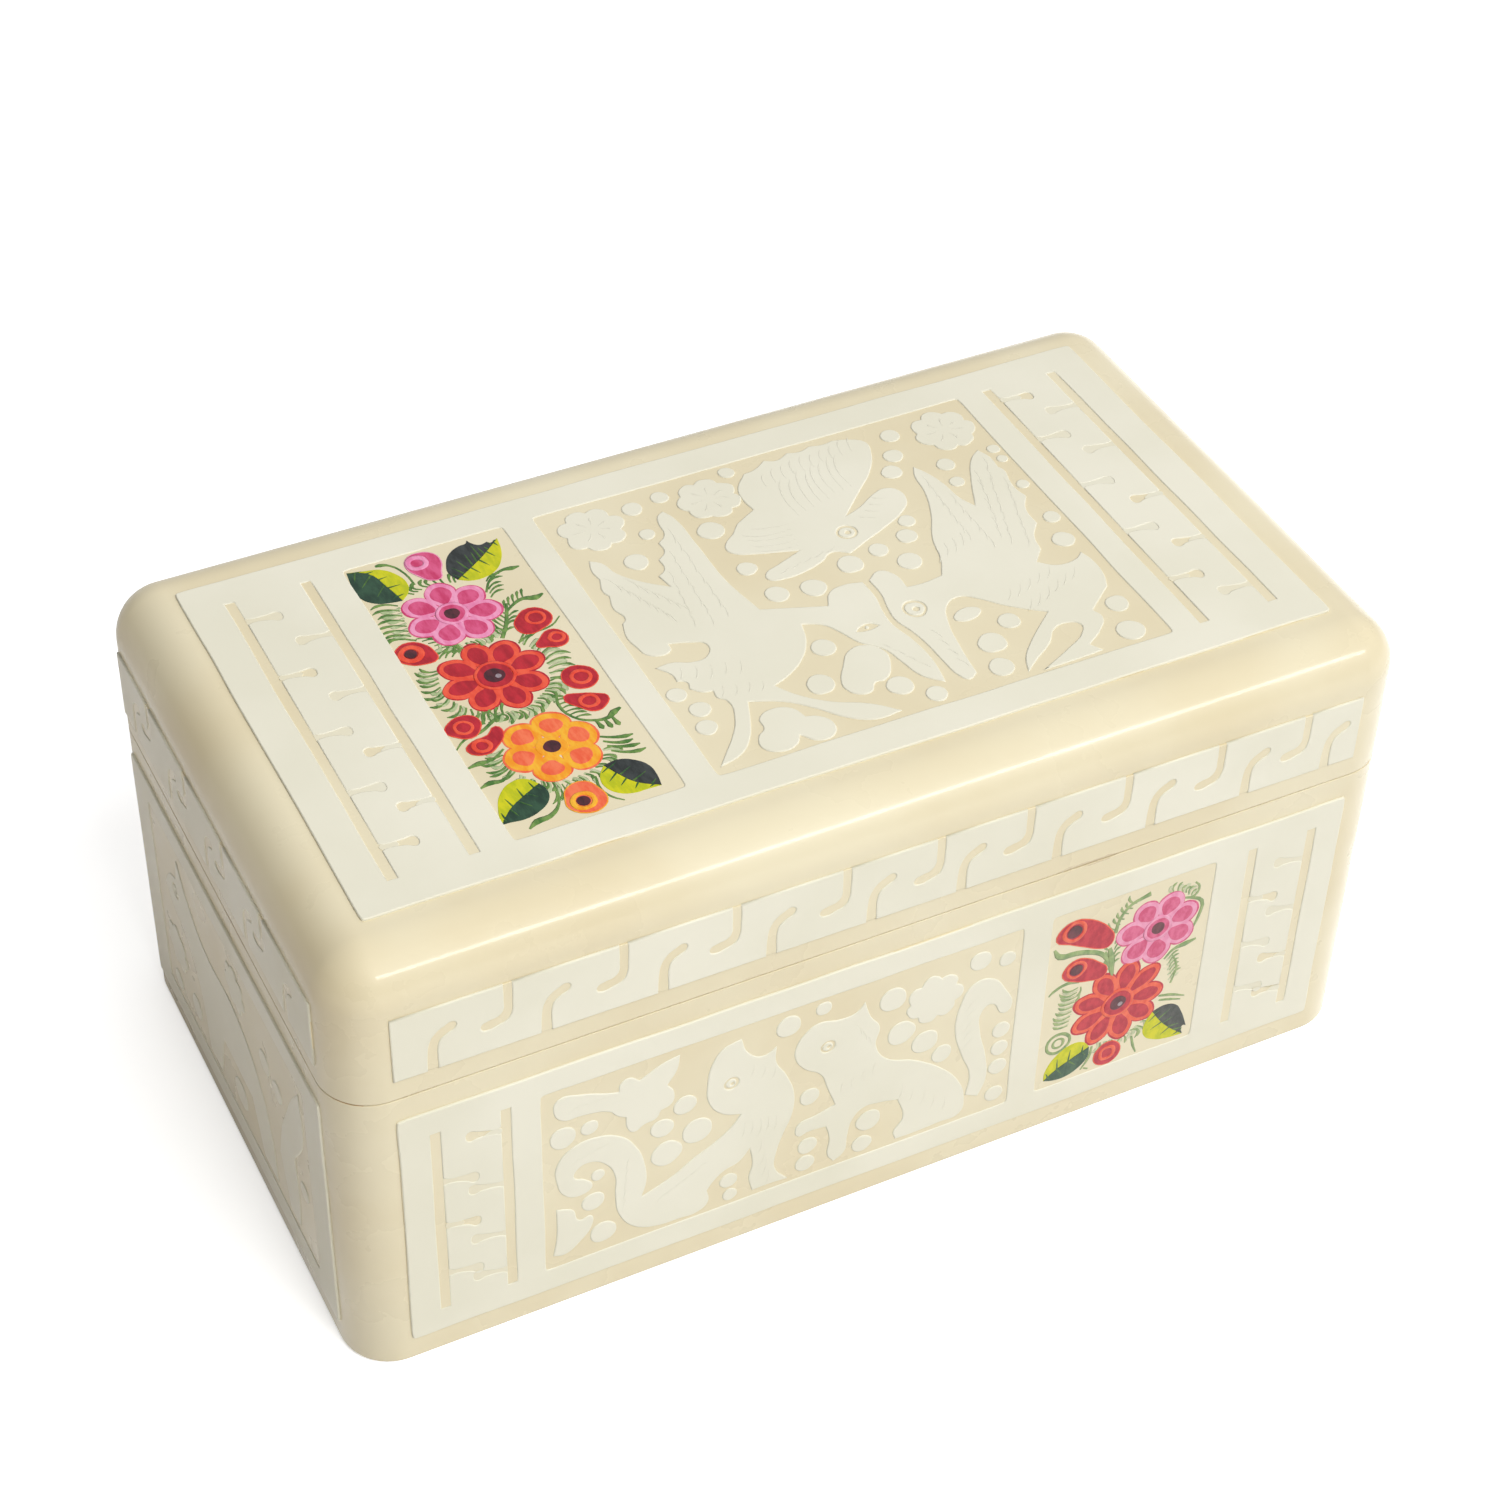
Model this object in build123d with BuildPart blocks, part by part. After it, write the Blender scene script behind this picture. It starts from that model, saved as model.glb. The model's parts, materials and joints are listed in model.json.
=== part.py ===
from build123d import *
import os
from math import cos, radians, sin, tan

# A lacquered wooden keepsake box with a hinged lid.
# Boards joined by fingers carry a cream ground coat, and a white coat stands on each face.
# The white coat is scraped through to the ground, so borders, frets, windows, beasts and flowers stand up.
# Millimetres, +Z up, origin on the table under the middle of the box, front towards -Y.

# Driving dimensions of the wood, over its ground coat
box_length = 200.0
box_depth = 111.0
box_height = 94.0
seam_height = 65.0  # middle of the seam between base and lid
seam_gap = 0.2
wall = 9.0
corner_radius = 9.2  # upright corners
top_roll = 9.2  # round along the edge of the lid's top
foot_bevel = 0.8
bottom_thick = 6.0
top_thick = 10.0
rabbet_width = 4.5  # how far the bottom board reaches into the walls
rabbet_clearance = 0.15
base_fingers = 5
rim_fingers = 3

# Hinges: two small butt hinges, let into the rims at the back
hinge_inset = 38.0  # from the box's end to the middle of a hinge
hinge_length = 22.0
hinge_setback = 2.4  # from the back face in to the pin
leaf_reach = 6.0  # from the pin to the leaf's front edge
leaf_thick = 0.9
barrel_radius = 1.8
pin_radius = 0.75
pin_clearance = 0.05
knuckle_gap = 0.2
middle_knuckle = 7.8
barrel_clearance = 0.3
mortise_clearance = 0.15
stop_angle = 50.0  # bevel on each rim at the back: together they stop the lid
bevel_setback = 0.15  # from the pin's axis forward to where the two bevels would meet
tongue_overlap = 0.3  # how far a leaf's tongue reaches into its knuckle's wall
cut_overrun = 1.0  # how far a cut runs out past the wood

# The white coat and its layout
coat = 0.45
top_field_end = 10.5  # from the box's end to the field on the lid's top
top_field_front = 11.5
top_field_back = 11.0
side_field_end = 9.7  # the same on the long sides
end_field_end = 8.5  # and on the short ends
base_field_low = 5.5
base_field_drop = 5.0  # from the seam down to the fields on the base
lid_field_rise = 4.5  # from the seam up to the bands on the lid
lid_field_drop = 10.8  # from the lid's top down to the bands
groove = 1.7
stroke_width = 1.7
stroke_flare = 0.9
stroke_length = 5.6
hook_width = 1.8
hook_reach = 4.4
hook_height = 8.2
hook_foot = 2.2  # how thick the hook's foot is
hook_ease = 0.9  # how far its corners are cut off
valley_share = 0.78  # a flower's radius between its lobes, as a share of the radius at them
dot_cuts = 6  # straight cuts round a dot
lobe_count = 7  # lobes of a flower

# Places worked out from the sizes above
half_length = box_length / 2
half_depth = box_depth / 2
base_top = seam_height - seam_gap / 2
lid_bottom = seam_height + seam_gap / 2
base_field_high = seam_height - base_field_drop
lid_field_low = seam_height + lid_field_rise
lid_field_high = box_height - lid_field_drop
rim_top = box_height - top_thick
pin_y = half_depth - hinge_setback
hinge_offset = half_length - hinge_inset
hinge_places = {"left": -hinge_offset, "right": hinge_offset}
outer_knuckle = (hinge_length - middle_knuckle) / 2 - knuckle_gap

os.makedirs("parts", exist_ok=True)


def save(part, name):
    """Label one finished piece and write it to its own file."""
    part.label = name
    export_step(part, f"parts/{name}.step")
    return part


# Cuts that several boards share


def rim_cuts():
    """Take the stop bevels, the room for the barrels and the leaves' mortises out of the current part."""
    reach = hinge_setback + bevel_setback + cut_overrun
    rise = reach * tan(radians(stop_angle))
    apex = pin_y - bevel_setback
    with BuildSketch(Plane.YZ) as bevels:
        with BuildLine():
            Polyline(
                (apex, seam_height),
                (apex + reach, seam_height + rise),
                (apex + reach, seam_height - rise),
                close=True,
            )
        make_face()
    extrude(bevels.sketch, amount=half_length + cut_overrun, both=True, mode=Mode.SUBTRACT)
    barrel_room = hinge_length + 2 * barrel_clearance
    for x in hinge_places.values():
        with Locations(Location((x, pin_y, seam_height), (0, 90, 0))):
            Cylinder(barrel_radius + barrel_clearance, barrel_room, mode=Mode.SUBTRACT)
        with Locations((x, pin_y - (leaf_reach + mortise_clearance) / 2, seam_height)):
            Box(
                hinge_length + 2 * mortise_clearance,
                leaf_reach + mortise_clearance,
                2 * leaf_thick + seam_gap,
                mode=Mode.SUBTRACT,
            )


def wall_board(name, low, high, fingers, place):
    """One board of the base's walls or of the lid's rim.

    The long boards hold the first, third and fifth finger of each corner, and the short ones the rest.
    """
    along_x = place in ("front", "back")
    sign = -1 if place in ("front", "left") else 1
    middle = sign * ((half_depth if along_x else half_length) - wall / 2)
    finger = (high - low) / fingers
    with BuildPart() as board:
        with BuildSketch(Plane.XY.offset(low)):
            RectangleRounded(box_length, box_depth, corner_radius)
            with Locations((0, middle) if along_x else (middle, 0)):
                if along_x:
                    Rectangle(box_length, wall, mode=Mode.INTERSECT)
                else:
                    Rectangle(wall, box_depth, mode=Mode.INTERSECT)
        extrude(amount=high - low)
        if low == 0:
            outer_edges = board.faces().sort_by(Axis.Z)[0].edges()
            rim_line = [e for e in outer_edges if not inner_edge(e, along_x, middle)]
            chamfer(rim_line, foot_bevel)
        for step in range(fingers):
            if (step % 2 == 0) == along_x:
                continue
            for x in (-1, 1):
                for y in (-1, 1):
                    with Locations(
                        (
                            x * (half_length - wall / 2),
                            y * (half_depth - wall / 2),
                            low + (step + 0.5) * finger,
                        )
                    ):
                        Box(wall, wall, finger, mode=Mode.SUBTRACT)
        if low == 0:
            with Locations((0, 0, bottom_thick / 2)):
                Box(
                    box_length - 2 * (wall - rabbet_width),
                    box_depth - 2 * (wall - rabbet_width),
                    bottom_thick,
                    mode=Mode.SUBTRACT,
                )
        if place != "front":
            rim_cuts()
    return save(board.part, name)


def inner_edge(edge, along_x, middle):
    """Say whether an edge of a board's foot belongs to its inner face or to its cut ends."""
    centre = edge.center()
    if along_x:
        return abs(centre.Y) < abs(middle)
    return abs(centre.X) < abs(middle) or edge.geom_type != GeomType.LINE


for place in ("front", "back", "left", "right"):
    wall_board(f"base_{place}_board", 0, base_top, base_fingers, place)
    wall_board(f"lid_{place}_board", lid_bottom, rim_top, rim_fingers, place)

with BuildPart() as bottom_board:
    with BuildSketch():
        Rectangle(
            box_length - 2 * (wall - rabbet_width + rabbet_clearance),
            box_depth - 2 * (wall - rabbet_width + rabbet_clearance),
        )
    extrude(amount=bottom_thick)
save(bottom_board.part, "bottom_board")

with BuildPart() as lid_top_board:
    with BuildSketch(Plane.XY.offset(rim_top)):
        RectangleRounded(box_length, box_depth, corner_radius)
    extrude(amount=top_thick)
    fillet(lid_top_board.faces().sort_by(Axis.Z)[-1].edges(), top_roll)
save(lid_top_board.part, "lid_top_board")

# Hinges


def hinge_leaf(name, x, knuckles, side):
    """One leaf with its knuckles: side is -1 for the base's leaf, under the seam, and 1 for the lid's."""
    inner_z = side * seam_gap / 2
    middle_z = seam_height + inner_z + side * leaf_thick / 2
    plate_front = pin_y - leaf_reach
    plate_back = pin_y - barrel_radius - barrel_clearance
    tongue_back = pin_y - pin_radius - pin_clearance - tongue_overlap
    with BuildPart() as leaf:
        with Locations((x, (plate_front + plate_back) / 2, middle_z)):
            Box(hinge_length, plate_back - plate_front, leaf_thick)
        for start, width in knuckles:
            with Locations((x + start + width / 2, (plate_back + tongue_back) / 2, middle_z)):
                Box(width, tongue_back - plate_back, leaf_thick)
            with Locations(Location((x + start + width / 2, pin_y, seam_height), (0, 90, 0))):
                Cylinder(barrel_radius, width)
        with Locations(Location((x, pin_y, seam_height), (0, 90, 0))):
            Cylinder(pin_radius + pin_clearance, hinge_length, mode=Mode.SUBTRACT)
    return save(leaf.part, name)


outer_knuckles = (
    (-hinge_length / 2, outer_knuckle),
    (hinge_length / 2 - outer_knuckle, outer_knuckle),
)
inner_knuckle = ((-middle_knuckle / 2, middle_knuckle),)

for place, hinge_x in hinge_places.items():
    hinge_leaf(f"base_hinge_leaf_{place}", hinge_x, outer_knuckles, -1)
    hinge_leaf(f"lid_hinge_leaf_{place}", hinge_x, inner_knuckle, 1)
    with BuildPart() as pin:
        with Locations(Location((hinge_x, pin_y, seam_height), (0, 90, 0))):
            Cylinder(pin_radius, hinge_length)
    save(pin.part, f"hinge_pin_{place}")

# The white coat: outlines of its figures
# Each figure starts at its first point.
# After it, a pair of points is an arc's middle and end, and a single one is a line's end.

bird_left = (
    (18.9, -2.2),
    [(18.2, -8.6), (17.9, -15)],
    [(18.6, -24), (20.6, -32.5)],
    [(17.8, -25), (14.6, -18.6)],
    [(10.6, -12.6), (5.0, -8.6)],
    [(-2.8, -17.8), (-13.9, -23.6)],
    [(-17.4, -30.8), (-22.6, -35.8)],
    [(-18.6, -28.6), (-16.9, -20.6)],
    [(-19.8, -16.0), (-20.6, -10.6)],
    [(-12.4, -8.9)],
    [(-22.8, -3.2)],
    [(-22.8, 9), (-20.6, 21.6)],
    [(-17.6, 16.4), (-13.3, 12.2)],
    [(-7.4, 20.4), (-3.8, 30)],
    [(-2.6, 14), (0.4, -0.4)],
    [(11.2, -5.2)],
    [(14.6, -2.8), (18.9, -2.2)],
)

bird_right = (
    (20.6, -2.2),
    [(25.6, -7.8)],
    [(33.6, -5.8)],
    [(37.4, 7), (42.8, 20)],
    [(44.8, 14.6), (47.6, 8.4)],
    [(51.6, 17), (56.6, 26.6)],
    [(56.8, 8), (50.8, -8.2)],
    [(54.6, -12.6), (58.8, -15.2)],
    [(52.4, -25)],
    [(44.4, -29), (36.4, -36)],
    [(39.6, -29.4), (44.4, -23.2)],
    [(31.2, -13.2)],
    [(27.4, -20.6), (26, -30.4)],
    [(24.4, -33.6)],
    [(21.6, -24.4), (19.9, -15)],
    [(20.0, -8.6), (20.6, -2.2)],
)

butterfly = (
    (20.6, 6.6),
    [(12.2, 12.4), (2.8, 15.4)],
    [(4.8, 20.2), (9.4, 22)],
    [(12.4, 28), (13.4, 34.8)],
    [(19.4, 35.8), (25.4, 32.6)],
    [(30.6, 36), (36.8, 35.4)],
    [(32.6, 25.2), (26.2, 16.4)],
    [(32.2, 18.5), (38.2, 18.4)],
    [(31.2, 11.2), (22.4, 5.8)],
)

cat = (
    (-47.0, 21.6),
    [(-38.2, 26.2), (-30.8, 33.2)],
    [(-35.8, 41.4), (-33.6, 51.8)],
    [(-30.8, 48.6)],
    [(-28.4, 51.4)],
    [(-26, 46.6)],
    [(-21.9, 42.2)],
    [(-24, 37.6)],
    [(-21.8, 25), (-22.8, 12.2)],
    [(-27.4, 12.2)],
    [(-28.8, 22)],
    [(-34.6, 20)],
    [(-35.4, 12.2)],
    [(-46.8, 12.2)],
    [(-48.6, 16.6), (-52.2, 19.6)],
    [(-53.4, 31)],
    [(-56.6, 34.6), (-59.6, 31.6)],
    [(-60.4, 28.6)],
    [(-63.0, 34.2), (-59.4, 39.6)],
    [(-50.2, 37.6), (-47.0, 21.6)],
)

squirrel = (
    (-19.4, 41.8),
    [(-17.0, 46.2), (-12.8, 48.4)],
    [(-10.4, 52.4)],
    [(-8.4, 48.2)],
    [(-4.6, 44.6), (-2.6, 38.8)],
    [(5.2, 34.2), (12, 26.6)],
    [(14.8, 19.6), (14.2, 12.2)],
    [(2, 12.2)],
    [(0.6, 23.4)],
    [(-6.8, 23)],
    [(-8.4, 12.2)],
    [(-13.4, 12.2)],
    [(-12, 27)],
    [(-14.2, 35.2), (-19.4, 41.8)],
)

plume = (
    (16.2, 21.6),
    [(13.0, 31), (13.6, 40.6)],
    [(18.6, 44.8), (22.6, 39.6)],
    [(24.2, 26), (22.8, 12.4)],
    [(19.4, 12.4)],
    [(20.6, 25), (17.8, 37)],
    [(17.6, 29), (16.2, 21.6)],
)

hare = (
    (-33.6, 40),
    [(-30.4, 44.4), (-26.4, 46.4)],
    [(-24.8, 52.2)],
    [(-21.6, 47)],
    [(-13.4, 41.2), (3, 40.2)],
    [(16.4, 30.8), (19.2, 12.6)],
    [(12.4, 12.6)],
    [(8.4, 23.8)],
    [(-6.4, 24.2)],
    [(-9.8, 12.6)],
    [(-16, 12.6)],
    [(-18.4, 26.4), (-24.2, 34.2)],
    [(-29.2, 36.2), (-33.6, 40)],
)

tall_plume = (
    (22.4, 24.4),
    [(28.2, 39.4), (36.4, 52.4)],
    [(36.6, 40.4), (30.6, 30.4)],
    [(31.2, 21), (30.2, 12.6)],
    [(25.6, 12.6)],
    [(22.4, 24.4)],
)

# Flowers: middle and radius
top_flowers = (((-15.8, 29.8), 6.4), ((6.2, 30), 5.4), ((51.4, 32.0), 5.0), ((31.8, -27.2), 3.4))
side_flowers = (((-44.6, 45.8), 5.6), ((7.6, 45.6), 5.2), ((-18.4, 17.4), 3.4))
end_flowers = (((-31.2, 25), 5.0), ((4.6, 47.4), 4.8), ((1.2, 17.6), 3.6))

# Leaves: from tip to tip, and their width
top_leaves = (((-12.4, -24.2), (8.8, -35.2), 3.0), ((5.4, -27.4), (14.2, -20.8), 5.0))
side_leaves = (((-62.2, 50.6), (-52.4, 44.4), 4.6), ((-33.0, 14.0), (-29.4, 20.0), 2.6))
end_leaves = (((-14.6, 50.2), (-5.4, 46.0), 3.6), ((14.0, 50.4), (25.4, 46.4), 3.8))

# Dots: middle and radius
top_dots = (
    ((-13.4, 19.2), 2.7),
    ((-7.4, 33.6), 2.8),
    ((43.0, 29.2), 2.5),
    ((38.2, 23.8), 2.6),
    ((26.6, 4.6), 2.7),
    ((30.2, -1.4), 2.7),
    ((5.2, -16.0), 2.7),
    ((0.4, -24.0), 2.7),
    ((56.6, -29.0), 2.9),
)
side_dots = (
    ((-43.6, 37.4), 2.4),
    ((-37.6, 32.4), 2.7),
    ((-42.8, 29.8), 2.5),
    ((-56.0, 15.8), 2.5),
    ((6.6, 35.6), 2.6),
    ((-3.4, 17.6), 2.7),
)
end_dots = (((18.4, 42.4), 2.6), ((24.4, 40.8), 2.3), ((-22.6, 17.2), 2.7))


def fitted(point, drawn, window):
    """Carry a point of a picture from the window it was drawn for to the window that holds it."""
    scale = min(
        (window[1] - window[0]) / (drawn[1] - drawn[0]),
        (window[3] - window[2]) / (drawn[3] - drawn[2]),
    )
    x = (window[0] + window[1]) / 2 + (point[0] - (drawn[0] + drawn[1]) / 2) * scale
    y = (window[2] + window[3]) / 2 + (point[1] - (drawn[2] + drawn[3]) / 2) * scale
    return (x, y), scale


def figure(stretches, drawn, window):
    """Add one closed figure of arcs and lines to the current sketch."""
    first = fitted(stretches[0], drawn, window)[0]
    start = first
    with BuildLine(Plane.XY) as outline:
        for stretch in stretches[1:]:
            moved = [fitted(point, drawn, window)[0] for point in stretch]
            if len(moved) == 2:
                ThreePointArc(start, *moved)
            else:
                Line(start, *moved)
            start = moved[-1]
        if (Vector(*start) - Vector(*first)).length > 0.01:
            Line(start, first)
    make_face(outline.edges())


def lobed_flower(middle, radius):
    """Add a flower: three straight cuts of the knife round each lobe."""
    step = 360 / lobe_count
    spots = []
    for lobe in range(lobe_count):
        for share, reach in ((0, valley_share), (0.28, 1), (0.72, 1)):
            angle = radians((lobe + share) * step)
            spots.append((middle[0] + reach * radius * cos(angle), middle[1] + reach * radius * sin(angle)))
    with BuildLine(Plane.XY) as outline:
        Polyline(*spots, close=True)
    make_face(outline.edges())


def leaf_shape(start, end, width):
    """Add a leaf: two arcs from tip to tip."""
    middle = (Vector(*start) + Vector(*end)) / 2
    along = (Vector(*end) - Vector(*start)).normalized()
    across = Vector(-along.Y, along.X) * (width / 2)
    with BuildLine(Plane.XY) as outline:
        ThreePointArc(Vector(*start), middle + across, Vector(*end))
        ThreePointArc(Vector(*end), middle - across, Vector(*start))
    make_face(outline.edges())


def picture(figures, flowers, leaves, dots, drawn, window):
    """Add all islands of one picture window to the current sketch."""
    for outline in figures:
        figure(outline, drawn, window)
    for middle, radius in flowers:
        place, scale = fitted(middle, drawn, window)
        lobed_flower(place, radius * scale)
    for start, end, width in leaves:
        place, scale = fitted(start, drawn, window)
        leaf_shape(place, fitted(end, drawn, window)[0], width * scale)
    for middle, radius in dots:
        place, scale = fitted(middle, drawn, window)
        with Locations(place):
            RegularPolygon(radius * scale, dot_cuts)


def cut_window(window):
    """Take a window out of the current sketch."""
    with Locations(((window[0] + window[1]) / 2, (window[2] + window[3]) / 2)):
        Rectangle(window[1] - window[0], window[3] - window[2], mode=Mode.SUBTRACT)


def fret_column(outer_x, inner_x, low, high, outer_strokes, inner_strokes):
    """Scrape two upright grooves and the flared strokes that reach from each towards the other."""
    towards = 1 if inner_x > outer_x else -1
    for x in (outer_x, inner_x):
        with Locations((x, (low + high) / 2)):
            Rectangle(groove, high - low, mode=Mode.SUBTRACT)
    for x, sign, heights in ((outer_x, towards, outer_strokes), (inner_x, -towards, inner_strokes)):
        for height in heights:
            if not low + stroke_width < height < high - stroke_width:
                continue
            tip = x + sign * (groove / 2 + stroke_length)
            half = stroke_width / 2
            with BuildLine(Plane.XY) as outline:
                Polyline(
                    (x, height - half),
                    (tip, height - half - stroke_flare),
                    (tip, height + half),
                    (x, height + half),
                    close=True,
                )
            make_face(outline.edges(), mode=Mode.SUBTRACT)


def hook(x, edge, way):
    """Scrape one hook of the running border: way is 1 for a hook that hangs from the upper edge."""
    half = hook_width / 2
    foot_top = hook_height - hook_foot

    def spot(across, down):
        return x - way * across, edge - way * down

    with BuildLine(Plane.XY) as outline:
        Polyline(
            spot(-half, 0),
            spot(-half, foot_top),
            spot(-half + hook_ease, hook_height - hook_ease),
            spot(hook_reach - 2 * hook_ease, hook_height),
            spot(hook_reach, hook_height - hook_ease),
            spot(hook_reach - hook_ease / 2, foot_top),
            spot(half + hook_ease, foot_top),
            spot(half, foot_top - hook_ease),
            spot(half, 0),
            close=True,
        )
    make_face(outline.edges(), mode=Mode.SUBTRACT)


# Where the scraped strokes and hooks lie: cut by hand, so unevenly spaced
top_left_strokes = ((32, 15.5, -1, -16, -30), (23, 7, -8.5, -23))
top_right_strokes = ((27, 13.5, -3, -17, -32), (34, 20.5, 5, -10, -25))
side_left_strokes = ((42.5, 31.5, 19.5), (50, 37, 24.5, 15))
side_right_strokes = ((48, 36, 24, 15), (42, 30.5, 19))
side_hooks_down = (-70.5, -50.5, -30.5, -10.5, 7, 24, 43, 61.5, 79)
side_hooks_up = (-83.5, -64, -43.5, -24, -5.5, 11.5, 30, 48.5, 67.5, 84)
end_hooks_down = (-31, -12, 7, 25.5)
end_hooks_up = (-40, -21, -2.5, 16.5, 35)

# Layout of a face, from the field's edges in
top_fret = (7.7, 21.6)  # middle of the outer and of the inner groove, from the field's end
side_fret = (6.3, 18.6)
picture_margin = 6.5  # from the fields' long edges to the windows and frets
side_margin = 5.3
flower_window_width = 30.0
side_flower_window_width = 33.0
top_flower_start = 28.5  # from the field's left end
top_bar = 6.0  # white bar between two windows
side_flower_start = 26.3  # from the field's right end
side_bar = 6.0
side_picture_start = 24.8
top_picture_end = 28.0
end_window_margin = 8.0

# The windows that the pictures were drawn for
top_drawn = (-25.0, 61.5, -37.5, 38.0)
side_drawn = (-65.5, 25.0, 10.8, 54.7)
end_drawn = (-39.0, 39.0, 10.8, 54.7)

top_plane = Plane.XY.offset(box_height)
face_planes = {
    "front": Plane(origin=(0, -half_depth, 0), x_dir=(1, 0, 0), z_dir=(0, -1, 0)),
    "back": Plane(origin=(0, half_depth, 0), x_dir=(-1, 0, 0), z_dir=(0, 1, 0)),
    "left": Plane(origin=(-half_length, 0, 0), x_dir=(0, -1, 0), z_dir=(-1, 0, 0)),
    "right": Plane(origin=(half_length, 0, 0), x_dir=(0, 1, 0), z_dir=(1, 0, 0)),
}


def field(left, right, low, high):
    """Add the white field of one face to the current sketch."""
    with Locations(((left + right) / 2, (low + high) / 2)):
        Rectangle(right - left, high - low)


def base_long_relief(place):
    """White coat on the base's front or back: frets at both ends, a picture and a flower window."""
    half = half_length - side_field_end
    low = base_field_low + side_margin
    high = base_field_high - side_margin
    flower_end = half - side_flower_start
    flower_window = (flower_end - side_flower_window_width, flower_end, low, high)
    picture_window = (-half + side_picture_start, flower_window[0] - side_bar, low, high)
    with BuildPart() as relief:
        with BuildSketch(face_planes[place]):
            field(-half, half, base_field_low, base_field_high)
            fret_column(-half + side_fret[0], -half + side_fret[1], low, high, *side_left_strokes)
            fret_column(half - side_fret[0], half - side_fret[1], low, high, *side_right_strokes)
            cut_window(flower_window)
            cut_window(picture_window)
            if place == "front":
                small_things = (side_flowers, side_leaves, side_dots)
            else:
                small_things = (side_flowers[:2], (), ())
            picture((cat, squirrel, plume), *small_things, side_drawn, picture_window)
        extrude(amount=coat)
    return save(relief.part, f"base_{place}_relief")


def base_end_relief(place):
    """White coat on a short end of the base: one picture window."""
    half = half_depth - end_field_end
    window = (
        -half + end_window_margin,
        half - end_window_margin,
        base_field_low + side_margin,
        base_field_high - side_margin,
    )
    with BuildPart() as relief:
        with BuildSketch(face_planes[place]):
            field(-half, half, base_field_low, base_field_high)
            cut_window(window)
            if place == "left":
                small_things = (end_flowers, end_leaves, end_dots)
            else:
                small_things = (end_flowers[:2], (), ())
            picture((hare, tall_plume), *small_things, end_drawn, window)
        extrude(amount=coat)
    return save(relief.part, f"base_{place}_relief")


def lid_band(place):
    """White band round the lid's rim, with its running hooks."""
    long_side = place in ("front", "back")
    half = half_length - side_field_end if long_side else half_depth - end_field_end
    hooks_down = side_hooks_down if long_side else end_hooks_down
    hooks_up = side_hooks_up if long_side else end_hooks_up
    with BuildPart() as band:
        with BuildSketch(face_planes[place]):
            field(-half, half, lid_field_low, lid_field_high)
            for x in hooks_down:
                if abs(x) < half - hook_reach:
                    hook(x, lid_field_high, 1)
            for x in hooks_up:
                if abs(x) < half - hook_reach:
                    hook(x, lid_field_low, -1)
        extrude(amount=coat)
    return save(band.part, f"lid_{place}_relief")


for place in ("front", "back"):
    base_long_relief(place)
for place in ("left", "right"):
    base_end_relief(place)
for place in ("front", "back", "left", "right"):
    lid_band(place)

with BuildPart() as lid_top_relief:
    field_left = -half_length + top_field_end
    field_right = half_length - top_field_end
    field_low = -half_depth + top_field_front
    field_high = half_depth - top_field_back
    window_low = field_low + picture_margin
    window_high = field_high - picture_margin
    flower_left = field_left + top_flower_start
    flower_window = (flower_left, flower_left + flower_window_width, window_low, window_high)
    picture_window = (flower_window[1] + top_bar, field_right - top_picture_end, window_low, window_high)
    with BuildSketch(top_plane):
        field(field_left, field_right, field_low, field_high)
        fret_column(
            field_left + top_fret[0], field_left + top_fret[1], window_low, window_high, *top_left_strokes
        )
        fret_column(
            field_right - top_fret[0], field_right - top_fret[1], window_low, window_high, *top_right_strokes
        )
        cut_window(flower_window)
        cut_window(picture_window)
        picture(
            (bird_left, bird_right, butterfly), top_flowers, top_leaves, top_dots, top_drawn, picture_window
        )
    extrude(amount=coat)
save(lid_top_relief.part, "lid_top_relief")
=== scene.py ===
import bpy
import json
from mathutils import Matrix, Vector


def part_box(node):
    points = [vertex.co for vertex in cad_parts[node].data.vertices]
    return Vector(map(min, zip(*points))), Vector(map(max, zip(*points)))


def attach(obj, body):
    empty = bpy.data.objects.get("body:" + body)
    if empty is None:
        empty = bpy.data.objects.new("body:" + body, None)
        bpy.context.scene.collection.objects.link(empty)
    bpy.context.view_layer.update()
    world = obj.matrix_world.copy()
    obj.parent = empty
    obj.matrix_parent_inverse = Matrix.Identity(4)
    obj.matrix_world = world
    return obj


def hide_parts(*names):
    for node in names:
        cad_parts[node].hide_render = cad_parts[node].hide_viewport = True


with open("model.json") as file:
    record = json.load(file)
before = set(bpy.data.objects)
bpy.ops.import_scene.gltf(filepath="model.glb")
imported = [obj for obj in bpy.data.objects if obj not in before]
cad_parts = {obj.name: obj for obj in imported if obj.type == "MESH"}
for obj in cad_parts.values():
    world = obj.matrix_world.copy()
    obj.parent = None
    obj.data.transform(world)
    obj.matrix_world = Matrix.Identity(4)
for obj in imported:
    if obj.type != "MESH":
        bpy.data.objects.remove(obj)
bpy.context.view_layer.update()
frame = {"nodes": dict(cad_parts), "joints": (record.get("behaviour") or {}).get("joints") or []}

import json
import random
from math import cos, hypot, pi, radians, sin, tan

import bmesh
import bpy
from mathutils import Matrix, Vector

# A lacquered wooden keepsake box: cream ground, a white coat scraped through to it, painted flowers
nodes = frame["nodes"]
mm = 0.001
hair = 0.01 * mm  # places closer than this count as one
rabbetPlay = 0.15 * mm  # air round the bottom board
hand = random.Random(11)  # the unsteadiness of the hand that cut and painted


def boxOf(*names):
    lows, highs = zip(*(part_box(name) for name in names))
    low = Vector(min(corner[axis] for corner in lows) for axis in range(3))
    high = Vector(max(corner[axis] for corner in highs) for axis in range(3))
    return low, high


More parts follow.
